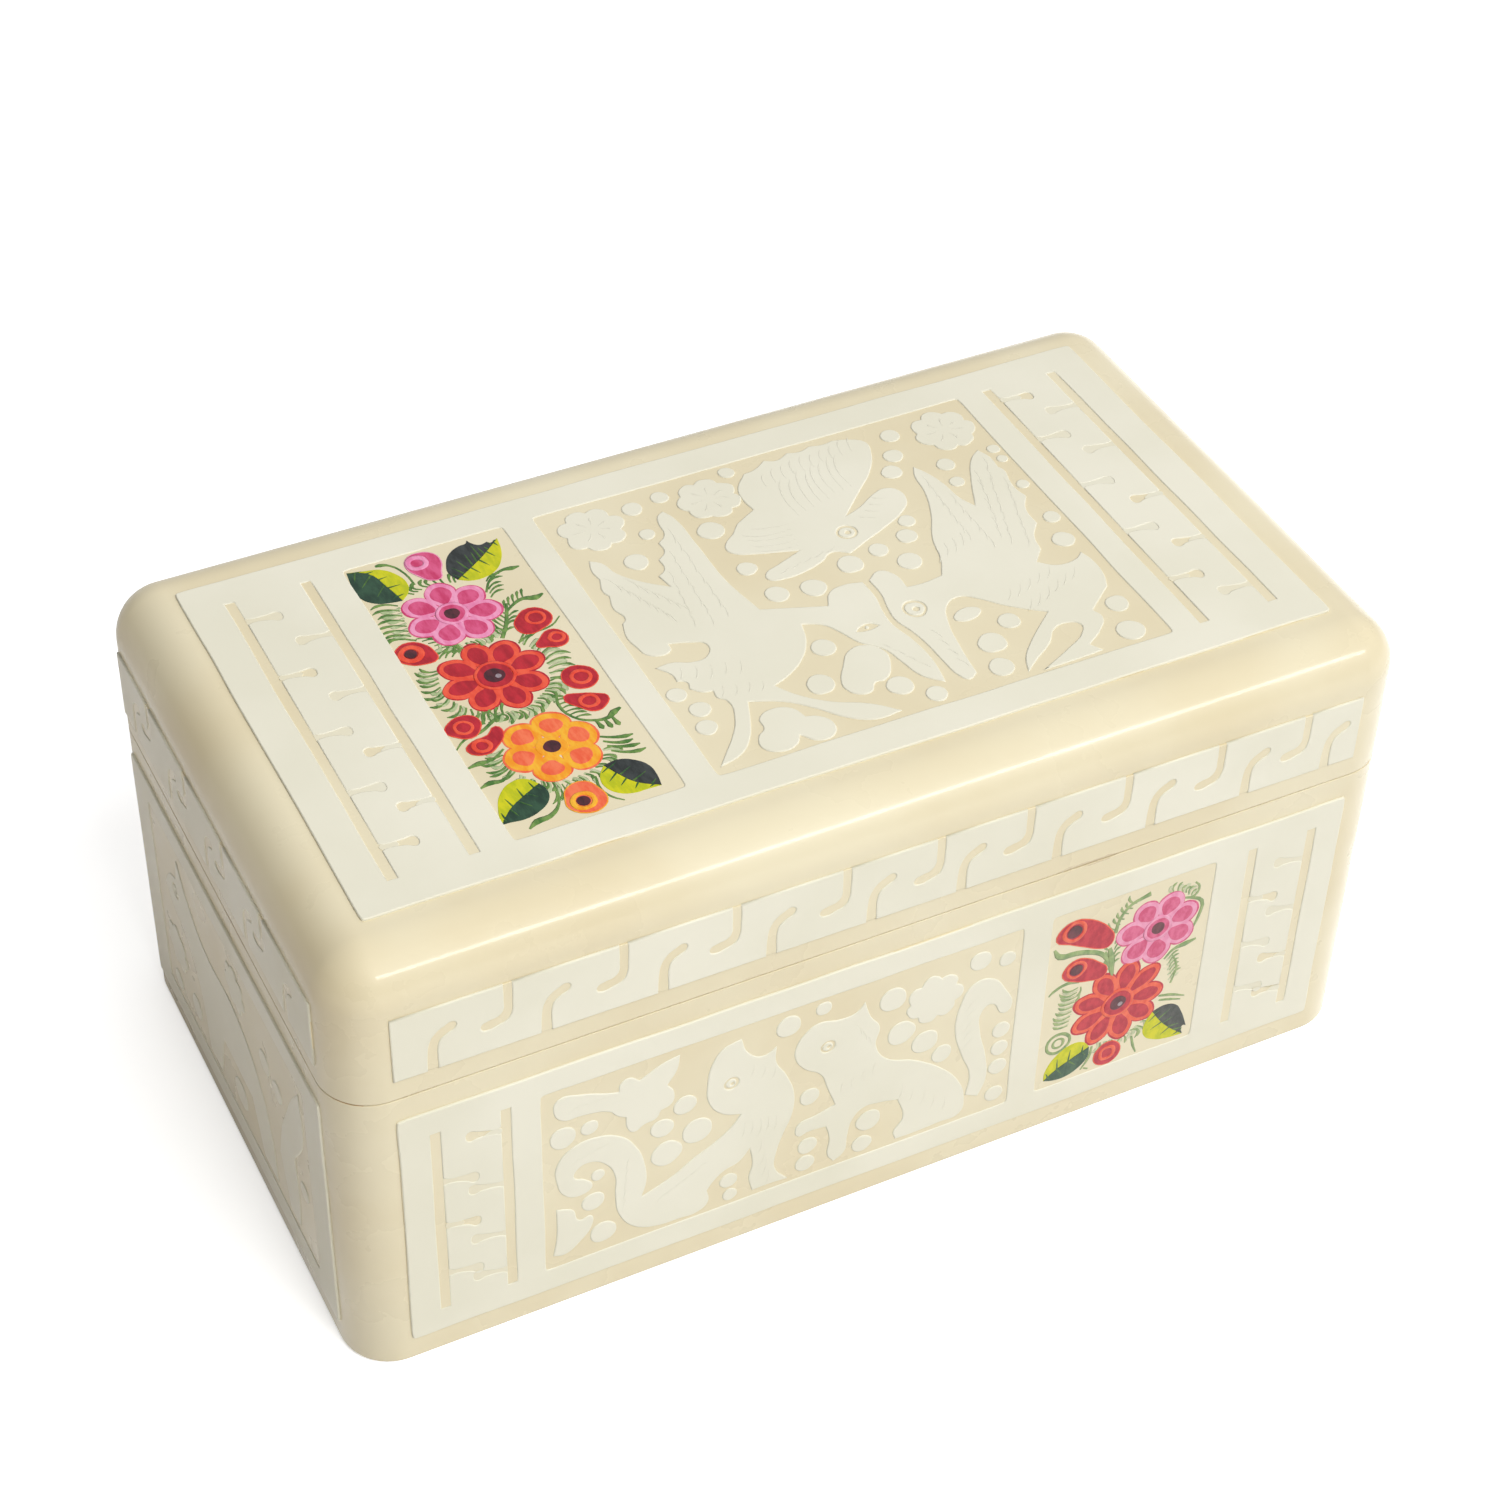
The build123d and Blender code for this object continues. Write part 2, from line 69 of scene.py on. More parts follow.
sides = ("front", "back", "left", "right")
baseBoards = [f"base_{side}_board" for side in sides]
lidBoards = [f"lid_{side}_board" for side in sides] + ["lid_top_board"]
baseLow, baseHigh = boxOf(*baseBoards)
lidLow, lidHigh = boxOf(*lidBoards)
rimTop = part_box("lid_front_board")[1].z
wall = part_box("base_left_board")[1].x - baseLow.x
floorLow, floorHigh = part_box("bottom_board")
rabbetX, rabbetY = rabbetPlay - floorLow.x, rabbetPlay - floorLow.y
pin = Vector(frame["joints"][0]["pos_m"])
pinBoxes = [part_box(f"hinge_pin_{side}") for side in ("left", "right")]
hingeX = [(low.x + high.x) / 2 for low, high in pinBoxes]
halfLength, halfDepth = baseHigh.x, baseHigh.y
print("frame read", [round(value / mm, 2) for value in (*baseLow, *lidHigh)])

# Finishes: tones as seen on a screen, from 0 to 255
groundLook = {
    "cream": (238, 227, 194), "shade": (231, 217, 180), "cloud": 22, "gloss": (0.24, 0.38),
    "coat": 0.36, "coatGloss": 0.05, "shine": 0.35,
    # grimeAndShade browns the seam, as worn lacquer and painted shade, and darkens the foot towards the
    # bottom
    "grimeAndShade": (172, 138, 88), "seam": 0.3, "seamReach": (0.15 * mm, 0.9 * mm),
    "foot": 0.2, "footRise": 1.2 * mm,
}
whiteLook = {
    "white": (243, 239, 220), "shade": (237, 233, 212), "scraped": (236, 228, 200), "cloud": 30,
    "gloss": (0.36, 0.5), "shine": 0.5,
}
woodLook = {
    "light": (226, 198, 152), "dark": (196, 158, 108), "pore": (150, 112, 70), "gloss": (0.52, 0.72),
    "stretch": 0.05, "rings": 210, "bands": 46, "pores": 2600,
}
brassLook = {
    "bright": (214, 178, 104), "dull": (158, 122, 62), "gloss": (0.24, 0.46), "tarnish": 260, "drawn": 2400,
}
paintLook = {  # dark and light tone of each paint
    "pinkFill": ((204, 52, 104), (226, 92, 140)),
    "pinkEdge": ((236, 130, 176), (248, 166, 202)),
    "redFill": ((170, 12, 36), (200, 32, 50)),
    "redEdge": ((232, 66, 44), (246, 96, 66)),
    "orangeFill": ((242, 94, 56), (252, 126, 84)),
    "orangeEdge": ((248, 152, 16), (254, 190, 48)),
    "heart": ((52, 14, 26), (92, 32, 46)),
    # a painted highlight for the red flower's dark heart
    "spark": ((128, 110, 120), (190, 176, 184)),
    "leafDark": ((30, 36, 36), (58, 64, 64)),
    "leafDeep": ((18, 54, 38), (44, 82, 58)),
    "leafLight": ((186, 194, 0), (218, 214, 8)),
    "leafMid": ((26, 74, 40), (84, 122, 40)),
    "fern": ((68, 116, 46), (126, 160, 82)),
    "fernPale": ((168, 186, 134), (202, 210, 168)),
}
paintFinish = {"gloss": 0.36, "coat": 0.12, "coatGloss": 0.25, "shine": 0.22, "streaks": 420}
paintPaler = {"colour": (238, 227, 204), "share": 0.17, "fern": 0.38}


def tone(colour):
    # a colour as seen on a screen made linear for the shader
    parts = [value / 255 for value in colour]
    return [part / 12.92 if part <= 0.04045 else ((part + 0.055) / 1.055) ** 2.4 for part in parts] + [1.0]


def dulled(name, colour):
    # the long sides' paint is mixed towards a pale cream, the thin ferns most
    share = paintPaler["fern" if name.startswith("fern") else "share"]
    return [value + (veil - value) * share for value, veil in zip(colour, paintPaler["colour"])]


def plug(tree, node, inputs):
    # link the sockets that get another node's output, and set the others
    for socket, value in inputs.items():
        if isinstance(value, bpy.types.NodeSocket):
            tree.links.new(value, node.inputs[socket])
        else:
            node.inputs[socket].default_value = value


def add(tree, kind, inputs, **settings):
    node = tree.nodes.new(f"ShaderNode{kind}")
    for key, value in settings.items():
        setattr(node, key, value)
    plug(tree, node, inputs)
    return node


def newMaterial(name):
    material = bpy.data.materials.new(name)
    material.use_nodes = True
    return material, material.node_tree, material.node_tree.nodes["Principled BSDF"]


def where(tree, stretch=(1, 1, 1), turn=(0, 0, 0)):
    spot = add(tree, "TexCoord", {}).outputs["Object"]
    return add(tree, "Mapping", {"Vector": spot, "Scale": stretch, "Rotation": turn}).outputs["Vector"]


def noise(tree, vector, scale, detail=3.0, rough=0.5):
    inputs = {"Vector": vector, "Scale": scale, "Detail": detail, "Roughness": rough}
    return add(tree, "TexNoise", inputs).outputs["Fac"]


def spread(tree, value, low, high, toLow=0.0, toHigh=1.0):
    inputs = {"Value": value, "From Min": low, "From Max": high, "To Min": toLow, "To Max": toHigh}
    return add(tree, "MapRange", inputs, interpolation_type="SMOOTHSTEP").outputs["Result"]


def mixed(tree, factor, under, over):
    return add(tree, "Mix", {0: factor, 6: under, 7: over}, data_type="RGBA").outputs[2]


def maths(tree, operation, *values):
    return add(tree, "Math", dict(enumerate(values)), operation=operation).outputs[0]


def bumped(tree, shader, *heights):
    # bumps stacked one on another: height, strength and how deep
    below = {}
    for height, strength, distance in heights:
        bump = add(tree, "Bump", {"Height": height, "Strength": strength, "Distance": distance, **below})
        below = {"Normal": bump.outputs["Normal"]}
    plug(tree, shader, below)


def groundMaterial():
    material, tree, shader = newMaterial("ground_lacquer")
    spot = where(tree)
    cloud = spread(tree, noise(tree, spot, groundLook["cloud"], 4), 0.32, 0.68)
    colour = mixed(tree, cloud, tone(groundLook["shade"]), tone(groundLook["cream"]))
    # partly worn lacquer, partly painted shade: a ragged brown line along the seam; the foot darker towards
    # the bottom
    height = add(tree, "SeparateXYZ", {0: spot}).outputs["Z"]
    gap = maths(tree, "ABSOLUTE", maths(tree, "SUBTRACT", height, pin.z + 0.1 * mm))
    ragged = noise(tree, where(tree, (1, 1, 3)), 130, 5, 0.65)
    seam = maths(tree, "LESS_THAN", gap, spread(tree, ragged, 0.44, 0.74, *groundLook["seamReach"]))
    patches = spread(tree, noise(tree, spot, 36, 2), 0.44, 0.66, 0.02, groundLook["seam"])
    foot = spread(tree, height, 0.0, groundLook["footRise"], groundLook["foot"], 0.0)
    for share in (maths(tree, "MULTIPLY", seam, patches), foot):
        colour = mixed(tree, share, colour, tone(groundLook["grimeAndShade"]))
    brushed = noise(tree, where(tree, (1, 1, 6)), 90, 4)
    bumped(tree, shader, (noise(tree, spot, 34, 2), 0.35, 0.25 * mm), (brushed, 0.12, 0.12 * mm))
    gloss = spread(tree, noise(tree, spot, 60, 5), 0.3, 0.7, *groundLook["gloss"])
    plug(tree, shader, {
        "Base Color": colour, "Roughness": gloss, "Coat Weight": groundLook["coat"],
        "Coat Roughness": groundLook["coatGloss"], "Specular IOR Level": groundLook["shine"],
    })
    return material


def whiteMaterial(name, dark, light):
    material, tree, shader = newMaterial(name)
    spot = where(tree)
    cloud = spread(tree, noise(tree, spot, whiteLook["cloud"], 4), 0.32, 0.68)
    burnish = noise(tree, where(tree, (1, 1, 1), (0.3, 0.2, 0.7)), 420, 3, 0.6)
    bumped(tree, shader, (noise(tree, spot, 55, 3), 0.4, 0.3 * mm), (burnish, 0.16, 0.1 * mm))
    plug(tree, shader, {
        "Base Color": mixed(tree, cloud, tone(dark), tone(light)),
        "Roughness": spread(tree, noise(tree, spot, 75, 5), 0.3, 0.7, *whiteLook["gloss"]),
        "Specular IOR Level": whiteLook["shine"],
    })
    return material


def paintMaterial(name, dark, light):
    material, tree, shader = newMaterial(name)
    streaks = noise(tree, where(tree, (1.6, 0.6, 1.0), (0.2, 0.4, 0.8)), paintFinish["streaks"], 4, 0.6)
    bumped(tree, shader, (streaks, 0.5, 0.12 * mm))
    plug(tree, shader, {
        "Base Color": mixed(tree, spread(tree, streaks, 0.34, 0.66), tone(dark), tone(light)),
        "Roughness": paintFinish["gloss"], "Coat Weight": paintFinish["coat"],
        "Coat Roughness": paintFinish["coatGloss"], "Specular IOR Level": paintFinish["shine"],
    })
    return material


def woodMaterial(name, along):
    # grain runs along X, or along Y where the board does
    material, tree, shader = newMaterial(name)
    stretch = (woodLook["stretch"], 1, 1) if along == "x" else (1, woodLook["stretch"], 1)
    rings = noise(tree, where(tree, stretch), woodLook["rings"], 6, 0.62)
    wide = noise(tree, where(tree, [value * 0.7 for value in stretch]), woodLook["bands"], 3, 0.5)
    pores = noise(tree, where(tree, [value * 0.6 for value in stretch]), woodLook["pores"], 2, 0.5)
    grain = spread(tree, maths(tree, "ADD", rings, wide), 0.82, 1.18)
    colour = mixed(tree, grain, tone(woodLook["dark"]), tone(woodLook["light"]))
    colour = mixed(tree, spread(tree, pores, 0.6, 0.72, 0.0, 0.3), colour, tone(woodLook["pore"]))
    bumped(tree, shader, (rings, 0.25, 0.1 * mm), (pores, 0.3, 0.05 * mm))
    gloss = spread(tree, rings, 0.3, 0.7, *woodLook["gloss"])
    plug(tree, shader, {"Base Color": colour, "Roughness": gloss})
    return material


def brassMaterial(name):
    material, tree, shader = newMaterial(name)
    tarnish = spread(tree, noise(tree, where(tree), brassLook["tarnish"], 5, 0.6), 0.36, 0.7)
    drawn = noise(tree, where(tree, (0.06, 1, 1)), brassLook["drawn"], 2)
    bumped(tree, shader, (drawn, 0.2, 0.02 * mm))
    colour = mixed(tree, tarnish, tone(brassLook["bright"]), tone(brassLook["dull"]))
    gloss = spread(tree, tarnish, 0, 1, *brassLook["gloss"])
    plug(tree, shader, {"Base Color": colour, "Metallic": 1.0, "Roughness": gloss})
    return material


ground = groundMaterial()
white = whiteMaterial("white_lacquer", whiteLook["shade"], whiteLook["white"])
scraped = whiteMaterial("scraped_lacquer", whiteLook["scraped"], whiteLook["shade"])
woodX = woodMaterial("bare_wood_long", "x")
woodY = woodMaterial("bare_wood_short", "y")
brass = brassMaterial("hinge_brass")
pinBrass = brassMaterial("pin_brass")
paints = {name: paintMaterial(name, *tones) for name, tones in paintLook.items()}
dullPaints = {
    name: paintMaterial(f"{name}Dull", *(dulled(name, colour) for colour in tones))
    for name, tones in paintLook.items()
}
print("finishes mixed", len(bpy.data.materials))

# The wood: two shells of boards under one ground coat
shellShape = {
    "corner": 9.2 * mm, "segments": 14, "foot": 0.8 * mm, "rim": 0.18 * mm, "wrap": 1.2 * mm,
    "innerCorner": 0.4 * mm, "rimDepth": 1.5 * mm, "footDepth": 6.1 * mm, "crease": 35,
}
hingeShape = {"length": 22 * mm, "reach": 6 * mm, "leaf": 0.9 * mm, "barrel": 2.1 * mm, "spare": 0.15 * mm}
stopShape = {"angle": 50, "back": 3.55 * mm, "apex": 0.15 * mm}
cutShape = {"overrun": 2 * mm, "lidFrom": 50 * mm, "baseTo": 80 * mm}  # how far cutters run past the wood


def block(low, high):
    solid = bmesh.new()
    bmesh.ops.create_cube(solid, size=1)
    bmesh.ops.scale(solid, vec=high - low, verts=solid.verts)
    bmesh.ops.translate(solid, vec=(low + high) / 2, verts=solid.verts)
    return solid


def blockRound(halfX, halfY, low, high):
    return block(Vector((-halfX, -halfY, low)), Vector((halfX, halfY, high)))


def upright(solid):
    return [edge for edge in solid.edges if abs(edge.verts[0].co.z - edge.verts[1].co.z) > 1 * mm]


def levelAt(solid, height):
    near = 0.1 * hair
    return [edge for edge in solid.edges if all(abs(vert.co.z - height) < near for vert in edge.verts)]


def bevel(solid, edges, offset, segments):
    bmesh.ops.bevel(
        solid, geom=edges, offset=offset, offset_type="OFFSET", segments=segments, profile=0.5,
        affect="EDGES", material=-1, clamp_overlap=True,
    )


def vertsOf(geometry):
    return [item for item in geometry if isinstance(item, bmesh.types.BMVert)]


def asObject(solid, name, *materials):
    mesh = bpy.data.meshes.new(name)
    solid.to_mesh(mesh)
    solid.free()
    for material in materials:
        mesh.materials.append(material)
    piece = bpy.data.objects.new(name, mesh)
    bpy.context.scene.collection.objects.link(piece)
    return piece


def cutAway(piece, solid):
    # take the solid out of the piece, and keep the result as its mesh
    cutter = asObject(solid, "cutter")
    modifier = piece.modifiers.new("cut", "BOOLEAN")
    modifier.operation = "DIFFERENCE"
    modifier.solver = "EXACT"
    modifier.use_self = True
    modifier.object = cutter
    graph = bpy.context.evaluated_depsgraph_get()
    cut = bpy.data.meshes.new_from_object(piece.evaluated_get(graph))
    piece.modifiers.clear()
    piece.data = cut
    bpy.data.objects.remove(cutter)


def stopCutter():
    # the bevels along the back that stop the lid where they meet
    cutter = bmesh.new()
    apex = pin.y - stopShape["apex"]
    rise = stopShape["back"] * tan(radians(stopShape["angle"]))
    length = halfLength + cutShape["overrun"] / 2
    corners = [
        cutter.verts.new((-length, apex + reach, pin.z + lift))
        for reach, lift in ((0, 0), (stopShape["back"], rise), (stopShape["back"], -rise))
    ]
    end = cutter.faces.new(corners)
    grown = bmesh.ops.extrude_face_region(cutter, geom=[end])["geom"]
    bmesh.ops.translate(cutter, vec=(2 * length, 0, 0), verts=vertsOf(grown))
    bmesh.ops.recalc_face_normals(cutter, faces=cutter.faces)
    return cutter


def mortiseCutter(x):
    reach = hingeShape["reach"] + hingeShape["spare"]
    half = hingeShape["length"] / 2 + hingeShape["spare"]
    thick = hingeShape["leaf"] + 0.1 * mm
    return block(Vector((x - half, pin.y - reach, pin.z - thick)), Vector((x + half, pin.y, pin.z + thick)))


def barrelCutter(x):
    cutter = bmesh.new()
    turn = Matrix.Translation((x, pin.y, pin.z)) @ Matrix.Rotation(pi / 2, 4, "Y")
    bmesh.ops.create_cone(
        cutter, cap_ends=True, segments=32, radius1=hingeShape["barrel"], radius2=hingeShape["barrel"],
        depth=hingeShape["length"] + 0.6 * mm, matrix=turn,
    )
    return cutter


def hollow(piece, low, high):
    cutter = blockRound(halfLength - wall, halfDepth - wall, low, high)
    bevel(cutter, upright(cutter), shellShape["innerCorner"], 3)
    cutAway(piece, cutter)


def onRim(middle, normal):
    # the flats where lid and base meet, and the beds of the leaves in them
    return abs(normal.z) > 0.9 and abs(middle.z - pin.z) < shellShape["rimDepth"]


def within(middle, halfX, halfY):
    return abs(middle.x) < halfX and abs(middle.y) < halfY


def finishShell(piece):
    # bare wood inside, under the floor and on the rim; smooth corners, crisp flats
    insideX, insideY = halfLength - wall + hair, halfDepth - wall + hair
    outerX, outerY = halfLength - shellShape["wrap"], halfDepth - shellShape["wrap"]
    solid = bmesh.new()
    solid.from_mesh(piece.data)
    cuts = (((insideX, 0, 0), (1, 0, 0)), ((outerX, 0, 0), (1, 0, 0)), ((0, outerY, 0), (0, 1, 0)))
    for spot, across in cuts:
        for way in (-1, 1):
            flats = {face for face in solid.faces if onRim(face.calc_center_median(), face.normal)}
            parts = flats | {part for face in flats for part in (*face.edges, *face.verts)}
            place = [way * value for value in spot]
            bmesh.ops.bisect_plane(
                solid, geom=list(parts), dist=0.1 * hair, plane_co=place, plane_no=across,
            )
    solid.to_mesh(piece.data)
    solid.free()
    for material in (ground, woodX, woodY):
        piece.data.materials.append(material)
    for face in piece.data.polygons:
        face.use_smooth = True
        middle = face.center
        inFoot = within(middle, rabbetX + hair, rabbetY + hair) and middle.z < shellShape["footDepth"]
        inBox = within(middle, insideX, insideY) and middle.z < rimTop + hair
        rim = onRim(middle, face.normal) and within(middle, outerX, outerY)
        if inFoot or inBox or rim:
            face.material_index = 2 if abs(face.normal.x) > 0.5 or (rim and abs(middle.x) > insideX) else 1
    piece.data.set_sharp_from_angle(angle=radians(shellShape["crease"]))
    piece.modifiers.new("evenShade", "WEIGHTED_NORMAL").keep_sharp = True


def fitHinges(piece):
    cutAway(piece, stopCutter())
    for x in hingeX:
        cutAway(piece, barrelCutter(x))
        cutAway(piece, mortiseCutter(x))
    finishShell(piece)


def baseShell():
    solid = block(baseLow, baseHigh)
    bevel(solid, upright(solid), shellShape["corner"], shellShape["segments"])
    bevel(solid, levelAt(solid, baseLow.z), shellShape["foot"], 2)
    bevel(solid, levelAt(solid, baseHigh.z), shellShape["rim"], 3)
    piece = asObject(solid, "baseShell")
    hollow(piece, floorHigh.z - cutShape["overrun"], cutShape["baseTo"])
    cutAway(piece, blockRound(rabbetX, rabbetY, -cutShape["overrun"], floorHigh.z))
    fitHinges(piece)
    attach(piece, "base")
    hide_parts(*baseBoards)


def lidShell():
    solid = block(lidLow, lidHigh)
    rolled = [edge for edge in solid.edges if edge in upright(solid) or edge in levelAt(solid, lidHigh.z)]
    bevel(solid, rolled, shellShape["corner"], shellShape["segments"])
    bevel(solid, levelAt(solid, lidLow.z), shellShape["rim"], 3)
    piece = asObject(solid, "lidShell")
    hollow(piece, cutShape["lidFrom"], rimTop)
    fitHinges(piece)
    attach(piece, "lid")
    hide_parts(*lidBoards)


baseShell()
lidShell()
print("shells cut")

# Hardware and floor keep their CAD shape and get a better finish
betterFinish = {
    "bottom_board": woodX, "hinge_pin_left": pinBrass, "hinge_pin_right": pinBrass,
    "base_hinge_leaf_left": brass, "base_hinge_leaf_right": brass,
    "lid_hinge_leaf_left": brass, "lid_hinge_leaf_right": brass,
}
for name, material in betterFinish.items():
    nodes[name].material_slots[0].material = material

screwShape = {
    "radius": 1.25 * mm, "top": 0.9, "facets": 28, "high": 0.07 * mm, "slot": 0.3 * mm, "apart": 7 * mm,
    "inset": 4 * mm, "below": 0.1 * mm,
}


def screw(name, x, surface, way, body):
    # low countersunk head with a slot: way is 1 where the leaf faces up
    head = bmesh.new()
    radius, slot = screwShape["radius"], screwShape["slot"] / 2
    bmesh.ops.create_cone(
        head, cap_ends=True, segments=screwShape["facets"], radius1=radius,
        radius2=radius * screwShape["top"], depth=screwShape["high"] * 3,
    )
    for offset in (-slot, slot):
        everything = head.verts[:] + head.edges[:] + head.faces[:]
        bmesh.ops.bisect_plane(head, geom=everything, plane_co=(0, offset, 0), plane_no=(0, 1, 0))
    strip = [face for face in head.faces if face.normal.z > 0.9 and abs(face.calc_center_median().y) < slot]
    sunk = bmesh.ops.extrude_face_region(head, geom=strip)["geom"]
    bmesh.ops.delete(head, geom=strip, context="FACES")
    bmesh.ops.translate(head, vec=(0, 0, -screwShape["high"]), verts=vertsOf(sunk))
    bmesh.ops.recalc_face_normals(head, faces=head.faces)
    flip = Matrix.Rotation(pi if way < 0 else 0, 4, "X")
    spin = Matrix.Rotation(hand.uniform(0, pi), 4, "Z")
    sink = Matrix.Translation((0, 0, screwShape["high"] * -0.5))
    place = Matrix.Translation((x, pin.y - screwShape["inset"], surface)) @ flip @ sink @ spin
    bmesh.ops.transform(head, matrix=place, verts=head.verts)
    piece = asObject(head, name, brass)
    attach(piece, body)


for side, x in zip(("Left", "Right"), hingeX):
    for mark, step in (("A", -1), ("B", 1)):
        place = x + step * screwShape["apart"]
        baseLeaf = pin.z - screwShape["below"]
        screw(f"baseScrew{side}{mark}", place, baseLeaf, 1, "base")
        screw(f"lidScrew{side}{mark}", place, baseLeaf + 2 * screwShape["below"], -1, "lid")
print("hinges dressed")

# Drawing on a face: millimetres across and up, z away from the wood
faceFrames = {
    "top": ((1, 0, 0), (0, 1, 0), (0, 0, lidHigh.z)),
    "front": ((1, 0, 0), (0, 0, 1), (0, -halfDepth, 0)),
    "back": ((-1, 0, 0), (0, 0, 1), (0, halfDepth, 0)),
    "left": ((0, -1, 0), (0, 0, 1), (-halfLength, 0, 0)),
    "right": ((0, 1, 0), (0, 0, 1), (halfLength, 0, 0)),
}
plateShape = {"soft": 0.22, "deep": 0.02, "weld": 0.001, "level": 0.99}
t = True  # marks a sharp corner in an outline


def facePlace(face):
    across, up, origin = (Vector(part) for part in faceFrames[face])
    out = across.cross(up)
    turn = Matrix((across, up, out)).transposed().to_4x4()
    return Matrix.Translation(origin) @ turn @ Matrix.Scale(mm, 4)


def newCurve(**settings):
    data = bpy.data.curves.new("drawn", "CURVE")
    for key, value in settings.items():
        setattr(data, key, value)
    return data


def knots(data, line, closed):
    # draw a smooth line through the points and hand back each knot with its point
    spline = data.splines.new("BEZIER")
    spline.bezier_points.add(len(line) - 1)
    spline.use_cyclic_u = closed
    for knot, point in zip(spline.bezier_points, line):
        knot.co = (point[0], point[1], 0)
        knot.handle_left_type = knot.handle_right_type = "AUTO"
        yield knot, point


def partOf(data):
    # the surface that a curve makes, as a part to work on
    drawn = bpy.data.objects.new("drawn", data)
    mesh = bpy.data.meshes.new_from_object(drawn)
    part = bmesh.new()
    part.from_mesh(mesh)
    bpy.data.objects.remove(drawn)
    bpy.data.curves.remove(data)
    bpy.data.meshes.remove(mesh)
    return part


def newPiece(paintBox=paints):
    return {"mesh": bmesh.new(), "materials": [], "paints": paintBox}


def layIn(piece, part, material, flat=()):
    # add a finished part to the piece under its own material, all smooth but its flat faces
    if material not in piece["materials"]:
        piece["materials"].append(material)
    index = piece["materials"].index(material)
    for face in part.faces:
        face.material_index = index
        face.smooth = face not in flat
    mesh = bpy.data.meshes.new("part")
    part.to_mesh(mesh)
    part.free()
    piece["mesh"].from_mesh(mesh)
    bpy.data.meshes.remove(mesh)


def plate(piece, loops, material, top, soft=plateShape["soft"], resolution=5):
    # a coat with a rounded edge that stands `top` above the face and is let in a little
    deep = plateShape["deep"]
    data = newCurve(
        dimensions="2D", resolution_u=resolution, fill_mode="BOTH", offset=-soft, bevel_depth=soft,
        bevel_resolution=1, extrude=(top - soft + deep) / 2,
    )
    for loop in loops:
        for knot, point in knots(data, loop, True):
            if len(point) > 2:
                knot.handle_left_type = knot.handle_right_type = "VECTOR"
    part = partOf(data)
    bmesh.ops.translate(part, vec=(0, 0, (top - soft - deep) / 2), verts=part.verts)
    bmesh.ops.remove_doubles(part, verts=part.verts, dist=plateShape["weld"])
    bmesh.ops.recalc_face_normals(part, faces=part.faces)
    flat = {face for face in part.faces if abs(face.normal.z) > plateShape["level"]}
    for face in flat:
        for edge in face.edges:
            if any(other not in flat for other in edge.link_faces):
                edge.smooth = False
    layIn(piece, part, material, flat)


def strokes(piece, lines, material, flatten, lift, closed=False):
    # raised strokes of the brush: each point is across, up and width
    data = newCurve(
        dimensions="3D", bevel_depth=1, bevel_resolution=1, resolution_u=3, use_fill_caps=not closed
    )
    for line in lines:
        for knot, point in knots(data, line, closed):
            knot.radius = point[2] / 2
    part = partOf(data)
    bmesh.ops.scale(part, vec=(1, 1, flatten), verts=part.verts)
    bmesh.ops.translate(part, vec=(0, 0, lift), verts=part.verts)
    bmesh.ops.recalc_face_normals(part, faces=part.faces)
    layIn(piece, part, material)


def finishPiece(piece, name, face, body, lift=0.0, thin=1.0):
    mesh = piece["mesh"]
    place = facePlace(face) @ Matrix.Translation((0, 0, lift)) @ Matrix.Diagonal((1, 1, thin, 1))
    bmesh.ops.transform(mesh, matrix=place, verts=mesh.verts)
    result = asObject(mesh, name, *piece["materials"])
    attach(result, body)
    return result


# Shapes that the knife cut
cut = {
    "wobble": 0.1, "step": 10.0, "worn": 0.6, "groove": 1.7, "near": 0.9, "far": 1.8, "reach": 5.8,
    "coat": 0.43, "bed": 0.26, "bedSoft": 0.1, "inset": 0.1, "ring": 0.35, "lobes": 7,
}
thinned = {  # whole is the share of strokes scraped to their full length
    "grow": 0.2, "whole": 0.65, "soft": 0.06, "length": (2.4, 3.6), "deep": (0.08, 0.12),
    "shallow": (0.04, 0.08),
}


def edgeLine(start, end):
    # a straight cut by hand: a corner, then points along it that stray a little
    length = hypot(end[0] - start[0], end[1] - start[1])
    count = max(1, round(length / cut["step"]))
    across = ((start[1] - end[1]) / length, (end[0] - start[0]) / length)
    points = [(*start, t)]
    for index in range(1, count):
        share = index / count
        stray = hand.uniform(-cut["wobble"], cut["wobble"])
        points.append(tuple(a + (b - a) * share + side * stray for a, b, side in zip(start, end, across)))
    return points


def window(left, right, low, high):
    # an opening cut by hand, the points taken off its corners
    corners = [(left, low), (right, low), (right, high), (left, high)]
    loop = []
    for index, start in enumerate(corners):
        end = corners[(index + 1) % 4]
        tip, last, following = (Vector(corner) for corner in (start, corners[index - 1], end))
        before = tip.lerp(last, cut["worn"] / (last - tip).length)
        after = tip.lerp(following, cut["worn"] / (following - tip).length)
        middle = tip.lerp((before + after) / 2, 0.55)
        loop += [before[:], middle[:], after[:], *edgeLine(start, end)[1:]]
    return loop


def scrape(x, way, height, lean, grow=0.0):
    # one scraped stroke: narrow where it leaves the groove, wide and turned down at its end
    near, far, reach = cut["near"] / 2 + grow, cut["far"] / 2 + grow, cut["reach"]
    shape = (
        (0, near + 0.35, t), (1, near), (reach - 1.8, far * 0.75), (reach, far * 0.9),
        (reach + 0.4 + grow, 0), (reach - 0.1, -far * 1.4), (reach - 1.7, -far * 0.8), (1, -near),
        (0, -near - 0.35, t),
    )
    start = x + way * cut["groove"] / 2
    return [(start + way * out, height + up + lean * way * out, *rest) for out, up, *rest in shape]


